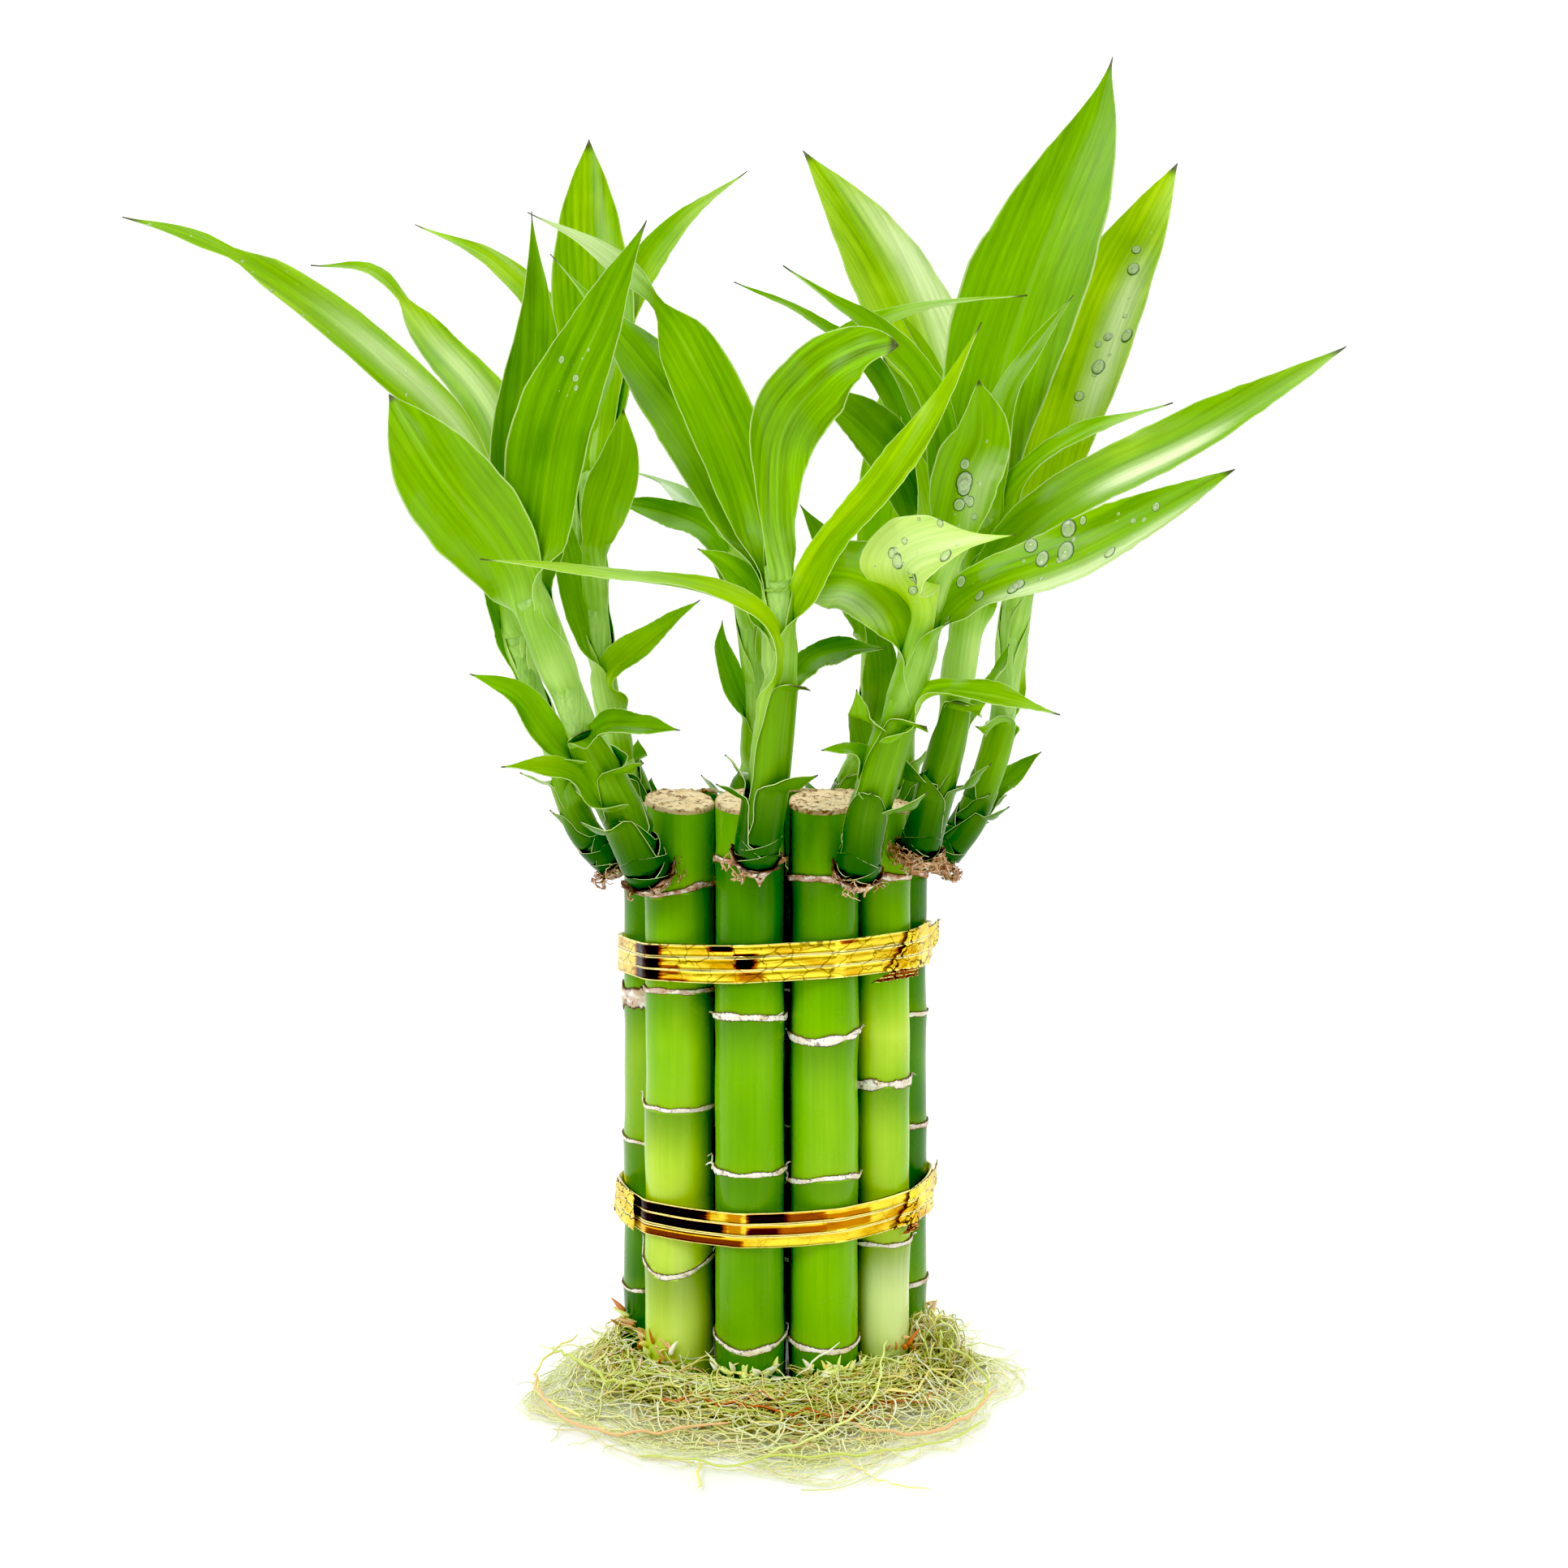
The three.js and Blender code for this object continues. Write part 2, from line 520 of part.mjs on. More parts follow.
function tieGeometry(tie) {
  const inner = beltOutline(nodeRidge + clearance);
  const outer = beltOutline(nodeRidge + clearance + 1);
  const section = tieSection(tie.height);
  const rings = inner.map((point, index) => {
    const out = outer[index].clone().sub(point);
    return section.map(([reach, rise]) => {
      const corner = point.clone().addScaledVector(out, reach);
      corner.z = tie.middle + tie.slope * corner.x + rise;
      return corner;
    });
  });
  return fromSolid(joinAll([loft(rings, { looped: true }), tieTab(tie)]));
}

// The cut end of the wire stands off the wraps on the right, up and outwards
function tieTab(tie) {
  const cane = canes[5];
  const centre = caneCentre(cane);
  const reach = cane.diameter / 2 + nodeRidge + clearance;
  const place = (turn, out, up) => {
    const angle = THREE.MathUtils.degToRad(tie.tabTurn + turn);
    const point = new THREE.Vector3(Math.cos(angle), Math.sin(angle), 0).multiplyScalar(reach + out).add(centre);
    point.z = tie.middle + tie.slope * point.x + up;
    return point.toArray();
  };
  return bladeGeometry({
    width: 3.2,
    stalk: 3,
    widest: 0.5,
    flat: true,
    cup: 0,
    wave: 0,
    face: [1, 0, 0],
    points: [place(-8, 0.7, 0.5), place(6, 0.9, 2), place(18, 1.6, 3.4), place(30, 2.6, 5)],
  });
}

// Root nest

// The nest spreads to the front and sides, and keeps close behind the canes.
// Angles are in degrees from the front.
function nestReach(angle) {
  const forward = Math.cos(THREE.MathUtils.degToRad(angle));
  return THREE.MathUtils.lerp(nestBack, nestFront, THREE.MathUtils.smoothstep(forward, -0.15, 0.4));
}

function nestPoint(angle, reach, height) {
  const turn = THREE.MathUtils.degToRad(angle);
  return new THREE.Vector3(Math.sin(turn) * reach, -Math.cos(turn) * reach, height);
}

// A low heap with an uneven rim, flat below, holds the strands together
function nestHeap(random) {
  const spokes = 32;
  const levels = [
    { share: 1, height: 0 },
    { share: 1, height: nestRim },
    { share: 0.86, height: nestHeight * 0.6 },
    { share: 0.72, height: nestHeight },
    { share: 0.2, height: nestHeight * 0.7 },
  ];
  const angles = Array.from({ length: spokes }, (_, spoke) => (spoke / spokes) * 360);
  const reaches = angles.map((angle) => nestReach(angle) * (0.95 + random() * 0.08));
  const rings = levels.map(({ share, height }) => angles.map((angle, spoke) => {
    const lump = height > nestRim ? (random() - 0.5) * 1.6 : 0;
    return nestPoint(angle, reaches[spoke] * share, height + lump);
  }));
  return loft(rings);
}

// A strand sunk into the heap at its start. Its reaches are those at the front,
// drawn in where the nest is narrower, and never nearer than the canes allow.
function strand(places, thickness) {
  const points = places.map(([angle, reach, height]) => {
    const drawn = Math.max(reach * nestReach(angle) / nestFront, nestInner);
    return nestPoint(angle, drawn, Math.max(height, thickness + 0.4)).toArray();
  });
  return tube(curveThrough(points), strandSteps, 3, (share) => thickness * (1 - 0.5 * share));
}

function rootStrands(random) {
  const strands = [];
  const between = (low, high) => low + random() * (high - low);
  for (let count = 0; count < longRoots; count++) {
    const angle = (count / longRoots) * 360;
    strands.push(strand([
      [angle, 50, 2.5],
      [angle + 16, between(58, 60), between(6, 9)],
      [angle + 36, between(61, 64), between(5, 7)],
      [angle + between(50, 62), between(64, 67), between(2, 4)],
    ], 1.1));
  }
  for (let count = 0; count < strayRoots; count++) {
    const angle = (count / strayRoots) * 360 + between(0, 10);
    const bend = between(-5, 5);
    const front = Math.cos(THREE.MathUtils.degToRad(angle)) > 0.4 ? between(6, 15) : 0;
    strands.push(strand([
      [angle, 55, 1.4],
      [angle + bend, 62, 1.4],
      [angle + bend * 0.4, 66 + front / 2, 1.4],
      [angle + bend * 2, 71 + front, 1.4],
    ], 0.9));
  }
  for (let count = 0; count < climbingRoots; count++) {
    const angle = (count / climbingRoots) * 360 + between(0, 12);
    const tuft = angle > 50 && angle < 90 ? 6 : 0;
    strands.push(strand([
      [angle, 50, 3],
      [angle + between(-4, 4), between(44, 46), between(11, 13) + tuft],
      [angle + 9, between(48, 50), between(9, 12) + tuft],
      [angle + 16, 54, 3],
    ], 1));
  }
  return strands;
}

function nestGeometry() {
  const random = seededRandom(7);
  let heap = toSolid(nestHeap(random));
  for (const cane of canes) heap = heap.subtract(toSolid(caneRoom(cane, clearance)));
  return fromSolid(mainBody(heap.add(joinAll(rootStrands(random)))));
}

// Assembly

function addMesh(parent, name, geometry, colour, roughness, metalness = 0) {
  geometry.computeVertexNormals();
  const material = new THREE.MeshStandardMaterial({ color: colour, roughness, metalness });
  const mesh = new THREE.Mesh(geometry, material);
  mesh.name = name;
  parent.add(mesh);
  return mesh;
}

const bundle = new THREE.Group();
const caneGroup = new THREE.Group();
const shootGroup = new THREE.Group();
bundle.add(caneGroup, shootGroup);

canes.forEach((cane, index) => {
  const number = String(index + 1).padStart(2, '0');
  const mesh = addMesh(caneGroup, `cane_${number}`, caneGeometry(cane), caneGreens[index], 0.3);
  mesh.position.copy(caneCentre(cane));
  addMesh(shootGroup, `shoot_${number}`, shootGeometry(shoots[index], index), leafGreen, 0.4);
});
addMesh(bundle, 'tie_upper', tieGeometry(upperTie), tieGold, 0.15, 1);
addMesh(bundle, 'tie_lower', tieGeometry(lowerTie), tieGold, 0.15, 1);
addMesh(bundle, 'root_nest', nestGeometry(), rootCream, 0.8);

export default bundle;
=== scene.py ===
import math
import bpy
import numpy as np
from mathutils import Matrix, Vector


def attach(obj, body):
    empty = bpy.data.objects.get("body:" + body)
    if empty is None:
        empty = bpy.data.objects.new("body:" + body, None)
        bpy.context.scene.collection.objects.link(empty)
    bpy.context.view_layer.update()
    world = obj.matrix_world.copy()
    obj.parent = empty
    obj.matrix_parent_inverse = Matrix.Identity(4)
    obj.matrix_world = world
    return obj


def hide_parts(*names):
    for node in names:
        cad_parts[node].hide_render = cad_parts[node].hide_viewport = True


# Lucky bamboo bundle: ten rooted canes in a ring, two gold ties, a leafy shoot on each cane.
# Places are in mm in the part's frame, with the front of the bundle on the -Y side.
# Colours are as seen on a screen, 0 to 255. A step of colours has the two values that it runs between.

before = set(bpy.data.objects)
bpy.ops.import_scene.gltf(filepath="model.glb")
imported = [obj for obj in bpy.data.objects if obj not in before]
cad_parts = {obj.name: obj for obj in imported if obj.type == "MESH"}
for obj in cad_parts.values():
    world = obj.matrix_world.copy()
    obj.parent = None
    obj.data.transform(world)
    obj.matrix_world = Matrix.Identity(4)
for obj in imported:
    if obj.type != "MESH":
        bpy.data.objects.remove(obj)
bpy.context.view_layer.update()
mm = 0.001
scene = bpy.context.scene
print("frame loaded:", len(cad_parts), "nodes")


# Camera, floor and light

studio = {
    "cameraPlace": (2.2, -418, 154),
    "lens": 35.4,
    "sensor": 36,
    "floorRadius": 4000,
    "floorCorners": 96,
    "floorHeight": -0.2,
    "floorColours": ((0.9, 0.91, 0.9, 1), (0.95, 0.95, 0.94, 1)),
    "roomStrength": (0.22, 1.0),  # before the bundle and behind it
    "ceilingStrength": 0.75,
    "seenStrength": 1.05,  # the room looks pale from every side
    "blackLevel": 0.035,
    "lightAim": (0, 0, 160),
    "lights": {
        "keyLight": {"place": (-520, -860, 820), "size": 420, "power": 4.6},
        "fillLight": {"place": (700, -700, 380), "size": 500, "power": 1.5},
        "backLight": {"place": (260, 720, 760), "size": 620, "power": 1.6},
        "topLight": {"place": (-60, 40, 1150), "size": 520, "power": 1},
    },
}


def buildStudio():
    camera = bpy.data.objects.new("photoCamera", bpy.data.cameras.new("photoCamera"))
    camera.location = Vector(studio["cameraPlace"]) * mm
    camera.rotation_euler = (math.radians(90), 0, 0)
    camera.data.lens = studio["lens"]
    camera.data.sensor_width = studio["sensor"]
    camera.data.clip_start = 0.01
    scene.collection.objects.link(camera)
    scene.camera = camera
    for name, light in studio["lights"].items():
        data = bpy.data.lights.new(name, "AREA")
        data.energy = light["power"]
        data.size = light["size"] * mm
        lamp = bpy.data.objects.new(name, data)
        lamp.location = Vector(light["place"]) * mm
        aim = Vector(studio["lightAim"]) - Vector(light["place"])
        lamp.rotation_euler = aim.to_track_quat("-Z", "Y").to_euler()
        scene.collection.objects.link(lamp)
    world = bpy.data.worlds.new("paleRoom")
    world.use_nodes = True
    work["tree"] = world.node_tree
    heading = addNode("SeparateXYZ", {0: addNode("TexCoord").outputs["Generated"]}).outputs
    walls = addRange(heading["Y"], -0.5, 0.6, *studio["roomStrength"])
    ceiling = addRange(heading["Z"], 0, 1, 0, studio["ceilingStrength"])
    seen = times(addNode("LightPath").outputs["Is Camera Ray"], studio["seenStrength"])
    background = world.node_tree.nodes["Background"]
    connect(addMath("MAXIMUM", addMath("ADD", walls, ceiling), seen), background.inputs["Strength"])
    connect((1, 1, 1, 1), background.inputs["Color"])
    scene.world = world
    scene.view_settings.view_transform = "Standard"
    scene.view_settings.use_curve_mapping = True
    scene.view_settings.curve_mapping.black_level = (studio["blackLevel"],) * 3
    scene.view_settings.curve_mapping.update()


def buildFloor():
    count = studio["floorCorners"]
    turns = np.linspace(0, 2 * math.pi, count, endpoint=False)
    rim = np.stack([np.cos(turns), np.sin(turns), 0 * turns], 1) * studio["floorRadius"]
    mesh = bpy.data.meshes.new("floor")
    mesh.from_pydata((rim * mm).tolist(), [], [list(range(count))])
    material, place = newMaterial("paleFloor")
    base = addMix(addNoise(place, 3, 4), *studio["floorColours"])
    mesh.materials.append(finishMaterial(material, base, 0.7))
    floor = bpy.data.objects.new("floor", mesh)
    floor.location.z = studio["floorHeight"] * mm
    scene.collection.objects.link(floor)


# Shader helpers. They add to the tree that is open. Each input is a socket, a number, a colour, or
# the name of a value that the mesh carries at its points.

work = {"tree": None}


def addValue(name):
    return addNode("Attribute", attribute_name=name).outputs["Fac"]


def connect(value, socket):
    if isinstance(value, str):
        value = addValue(value)
    if isinstance(value, bpy.types.NodeSocket):
        work["tree"].links.new(value, socket)
    else:
        socket.default_value = value


def addNode(kind, inputs=None, **settings):
    node = work["tree"].nodes.new("ShaderNode" + kind)
    for name, setting in settings.items():
        setattr(node, name, setting)
    for socket, value in (inputs or {}).items():
        connect(value, node.inputs[socket])
    return node


def stretched(place, scale):
    return addNode("Mapping", {"Vector": place, "Scale": scale}).outputs["Vector"]


def addNoise(place, scale, detail=3, stretch=None):
    if stretch:
        place = stretched(place, stretch)
    return addNode("TexNoise", {"Vector": place, "Scale": scale, "Detail": detail}).outputs["Fac"]


def addMix(share, first, second, blend="MIX"):
    return addNode("Mix", {0: share, 6: first, 7: second}, data_type="RGBA", blend_type=blend).outputs[2]


def addMath(operation, *values):
    return addNode("Math", dict(enumerate(values)), operation=operation).outputs[0]


def times(first, second):
    return addMath("MULTIPLY", first, second)


def addRange(value, low, high, toLow=0.0, toHigh=1.0):
    inputs = {"Value": value, "From Min": low, "From Max": high, "To Min": toLow, "To Max": toHigh}
    return addNode("MapRange", inputs, interpolation_type="SMOOTHSTEP").outputs["Result"]


def drifting(value, noise, strength):  # a value that a noise raises and lowers
    return addMath("MULTIPLY_ADD", addMath("SUBTRACT", noise, 0.5), strength, value)


def linear(red, green, blue):  # a colour as seen on a screen, 0 to 255
    parts = [part / 255 for part in (red, green, blue)]
    return (*[((part + 0.055) / 1.055) ** 2.4 if part > 0.04 else part / 12.92 for part in parts], 1)


def paint(base, share, colour):  # a colour over the ones below it
    return addMix(share, base, linear(*colour))


def paintSteps(value, first, steps):  # colours that follow each other as a value grows
    base = linear(*first)
    for low, high, colour in steps:
        base = paint(base, addRange(value, low, high), colour)
    return base


def grained(base, share, mask):
    grey = addNode("CombineColor", {0: mask, 1: mask, 2: mask}).outputs[0]
    return addMix(share, base, grey, "OVERLAY")


def newMaterial(name):
    material = bpy.data.materials.new(name)
    material.use_nodes = True
    work["tree"] = material.node_tree
    return material, addNode("TexCoord").outputs["Object"]


def finishMaterial(material, base, roughness, bump=None, others=None):  # bump: height, strength, depth in mm
    inputs = {"Base Color": base, "Roughness": roughness, **(others or {})}
    if bump:
        height, strength, depth = bump
        relief = addNode("Bump", {"Height": height, "Strength": strength, "Distance": depth * mm})
        inputs["Normal"] = relief.outputs["Normal"]
    shader = material.node_tree.nodes["Principled BSDF"]
    for name, value in inputs.items():
        connect(value, shader.inputs[name])
    return material


def newGroup(name, control, usual, detail, roughness):  # a group with a noise, which is its height
    group = bpy.data.node_groups.new(name, "ShaderNodeTree")
    group.interface.new_socket("Place", in_out="INPUT", socket_type="NodeSocketVector")
    for label, value in (("Scale", 1.0), (control, usual)):
        socket = group.interface.new_socket(label, in_out="INPUT", socket_type="NodeSocketFloat")
        socket.default_value = value
    for label in ("Mask", "Height"):
        group.interface.new_socket(label, in_out="OUTPUT", socket_type="NodeSocketFloat")
    work["tree"] = group
    given, made = group.nodes.new("NodeGroupInput").outputs, group.nodes.new("NodeGroupOutput").inputs
    noise = addNoise(given["Place"], given["Scale"], detail)
    noise.node.inputs["Roughness"].default_value = roughness
    connect(noise, made["Height"])
    return group, given, made, noise


def useGroup(group, place, scale, control):  # gives its mask and its height
    return addNode("Group", {0: place, 1: scale, 2: control}, node_tree=group).outputs


# Fine lines that run the length of a cane, stem or leaf, from a place that is stretched along them
def buildFibreGroup():
    group, given, made, noise = newGroup("plantFibres", "Contrast", 0.3, 4, 0.62)
    connect(drifting(0.5, noise, given["Contrast"]), made["Mask"])
    return group


# Brown specks and stains on dry bark, torn paper and cut ends
def buildSpeckGroup():
    group, given, made, noise = newGroup("drySpecks", "Amount", 0.5, 5, 0.7)
    low = addMath("SUBTRACT", 0.78, times(given["Amount"], 0.4))
    mask = times(addMath("SUBTRACT", noise, low), 11)
    mask.node.use_clamp = True
    connect(mask, made["Mask"])
    return group


fibreGroup = buildFibreGroup()
speckGroup = buildSpeckGroup()


# Mesh helpers. A part is a dictionary of points in mm, quads, triangles and values for each point.

def gridQuads(rows, columns, wrapped=False):
    row = np.arange(rows - 1)[:, None]
    column = np.arange(columns if wrapped else columns - 1)[None, :]
    after = (column + 1) % columns
    low, high = row * columns, (row + 1) * columns
    return np.stack([low + column, low + after, high + after, high + column], -1).reshape(-1, 4)


def newPart(points, quads=(), triangles=(), **values):
    points = np.asarray(points, float).reshape(-1, 3)
    return {
        "points": points,
        "quads": np.array(quads, int).reshape(-1, 4),
        "triangles": np.array(triangles, int).reshape(-1, 3),
        "values": flatValues(values, (len(points),)),
    }


def joinParts(parts):
    starts = np.cumsum([0] + [len(part["points"]) for part in parts])
    whole = newPart(
        np.vstack([part["points"] for part in parts]),
        np.vstack([part["quads"] + start for part, start in zip(parts, starts)]),
        np.vstack([part["triangles"] + start for part, start in zip(parts, starts)]))
    for name in {name for part in parts for name in part["values"]}:
        blank = [part["values"].get(name, np.zeros(len(part["points"]))) for part in parts]
        whole["values"][name] = np.concatenate(blank)
    return whole


def flatValues(values, shape):  # a value for each point of a grid
    return {name: np.broadcast_to(np.asarray(value, float), shape).ravel() for name, value in values.items()}


def addPiece(name, part, material, node):
    mesh = bpy.data.meshes.new(name)
    faces = part["quads"].tolist() + part["triangles"].tolist()
    mesh.from_pydata((part["points"] * mm).tolist(), [], faces)
    for label, value in part["values"].items():
        mesh.attributes.new(label, "FLOAT", "POINT").data.foreach_set("value", value)
    mesh.polygons.foreach_set("use_smooth", np.ones(len(faces), bool))
    mesh.materials.append(material)
    piece = bpy.data.objects.new(name, mesh)
    scene.collection.objects.link(piece)
    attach(piece, "root")
    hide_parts(node)


def closedTube(rings, **values):  # rings of points, counter-clockwise about the way on
    rows, columns = rings.shape[:2]
    last = (rows - 1) * columns
    ends = []
    for side in range(1, columns - 1):
        ends += [[0, side + 1, side], [last, last + side, last + side + 1]]
    return newPart(rings, gridQuads(rows, columns, True), ends, **flatValues(values, (rows, columns)))


def closedBand(grid, **values):  # a grid that meets itself both ways
    index = np.arange(grid.shape[0] * grid.shape[1]).reshape(grid.shape[:2])
    after, beside = np.roll(index, -1, 0), np.roll(index, -1, 1)
    quads = np.stack([index, after, np.roll(beside, -1, 0), beside], -1)
    return newPart(grid, quads, **flatValues(values, grid.shape[:2]))


def unit(vectors):
    return vectors / np.maximum(np.linalg.norm(vectors, axis=-1, keepdims=True), 1e-9)


def fullTurn(count):
    return np.arange(count) / count * 2 * math.pi


def ringsAlong(points, ahead, radii, sides, start):  # each ring keeps the last one's heading
    across = np.zeros_like(points)
    across[0] = unit(np.cross(ahead[0], start))
    for step in range(1, len(points)):
        across[step] = unit(across[step - 1] - ahead[step] * np.dot(across[step - 1], ahead[step]))
    other = np.cross(ahead, across)
    turns = fullTurn(sides)
    ring = np.cos(turns)[None, :, None] * across[:, None] + np.sin(turns)[None, :, None] * other[:, None]
    return points[:, None] + ring * np.asarray(radii, float).reshape(-1, 1, 1), ring, turns


def tubeAlong(points, radii, sides, **values):
    ahead = unit(np.gradient(points, axis=0))
    return closedTube(ringsAlong(points, ahead, radii, sides, [0.31, 0.22, 0.92])[0], **values)


def sheetNormal(grid):
    return unit(np.cross(np.gradient(grid, axis=1), np.gradient(grid, axis=0)))


def thickSheet(grid, thickness, **values):  # a closed sheet round a grid of points
    rows, columns = grid.shape[:2]
    normal = sheetNormal(grid)
    half = np.broadcast_to(thickness, (rows, columns))[..., None] / 2
    points = np.concatenate([(grid + normal * half).reshape(-1, 3), (grid - normal * half).reshape(-1, 3)])
    count = rows * columns
    quads = gridQuads(rows, columns)
    index = np.arange(count).reshape(rows, columns)
    border = np.concatenate([index[0, :-1], index[:-1, -1], index[-1, :0:-1], index[:0:-1, 0]])
    after = np.roll(border, -1)
    rim = np.stack([border, border + count, after + count, after], 1)
    flat = {name: np.tile(value, 2) for name, value in flatValues(values, (rows, columns)).items()}
    side = np.repeat([1.0, 0.0], count)
    return newPart(points, np.vstack([quads, quads[:, ::-1] + count, rim]), upperSide=side, **flat)


def curveDense(points, steps=40):  # a smooth curve through points that are given
    points = np.array(points, float)
    ends = np.vstack([2 * points[0] - points[1], points, 2 * points[-1] - points[-2]])
    share = np.linspace(0, 1, steps, endpoint=False)[:, None]
    spans = []
    for before, start, end, after in zip(ends, ends[1:], ends[2:], ends[3:]):
        leave, arrive = (end - before) / 2, (after - start) / 2
        spans.append((2 * share**3 - 3 * share**2 + 1) * start + (share**3 - 2 * share**2 + share) * leave
                     + (3 * share**2 - 2 * share**3) * end + (share**3 - share**2) * arrive)
    return np.vstack(spans + [points[-1:]])


def newPath(points):
    dense = curveDense(points)
    lengths = np.concatenate([[0], np.cumsum(np.linalg.norm(np.diff(dense, axis=0), axis=1))])
    return {"dense": dense, "lengths": lengths, "length": lengths[-1]}


def onPath(path, shares):  # places and headings at shares of the length, straight on past its ends
    shares = np.atleast_1d(np.asarray(shares, float))
    at = np.clip(shares, 0, 1) * path["length"]
    place = np.stack([np.interp(at, path["lengths"], path["dense"][:, axis]) for axis in range(3)], 1)
    slope = np.gradient(path["dense"], path["lengths"] + np.arange(len(path["lengths"])) * 1e-9, axis=0)
    ahead = unit(np.stack([np.interp(at, path["lengths"], slope[:, axis]) for axis in range(3)], 1))
    beyond = (shares - np.clip(shares, 0, 1)) * path["length"]
    return place + ahead * beyond[:, None], ahead


def smooth(value, low, high):
    share = np.clip((value - low) / (high - low), 0, 1)
    return share * share * (3 - 2 * share)


def wander(value, seed, lowest=1, highest=5, pitch=1.13, calm=0.62):  # smooth random hills from -1 to 1
    random = np.random.default_rng(seed)
    total = 0
    for order in range(lowest, highest + 1):
        hill = np.sin(np.asarray(value) * order * pitch + random.uniform(0, 6.28))
        total = total + hill * random.uniform(0.4, 1)
    return total / ((highest - lowest + 1) * calm)


def wanderRound(turns, seed, lowest=2, highest=9):  # the same, and meeting itself after a full turn
    return wander(turns, seed, lowest, highest, 1, 0.5)


# Canes. Each scar has its height, how far it dips, the way it dips (degrees, anticlockwise from the
# cane's outer side as seen from above), its breadth, its share of brown and, where its dip comes to a
# point, "sharp". Tabs are loose curls of dry paper: the scar that they hang from, the way round, their
# rise, their curl and their thickness. Tones are heights with the cane's place in its colours, and a cut
# falls outwards unless it has a cutTurn.

caneForm = {
    "length": 149.5,
    "ringRadius": 31.9,
    "cutSlope": 0.3,
    "cutBlend": 12,
    "cutRows": 12,
    "cutRings": (1, 0.97, 0.9, 0.8, 0.65, 0.5, 0.35, 0.2, 0.08),  # shares of the radius, from the rim inwards
    "cutHills": 0.35,
    "cutGrain": 0.2,
    "cutBurr": 0.8,
    "sides": 64,
    "rowHeight": 1.5,
    "flare": 0.3,
    "wanderReach": 0.25,
    "lips": (3.5, 1.6),  # how slowly a swelling fades below a scar and above it
    "farFromScar": 99.0,
}
# Two of the cane colours are painted shade: one for the gaps between canes and the inside of the ring, one
# for a thin line just under each scar.
caneColours = {
    "darkest": (48, 118, 0),
    "brighter": [(0, 0.5, (126, 190, 0)), (0.45, 1, (198, 228, 66)), (0.8, 1.3, (220, 240, 158))],
    "belowScar": (34, 96, 4), "aboveScar": (150, 190, 24), "scarShadowLine": (20, 34, 2),
    "shade": (24, 78, 0), "gapShade": (6, 22, 0), "speck": (205, 225, 130),
}
cutColours = {"pith": (255, 243, 212), "wood": (224, 184, 122), "speck": (112, 62, 28), "rim": (150, 100, 50)}
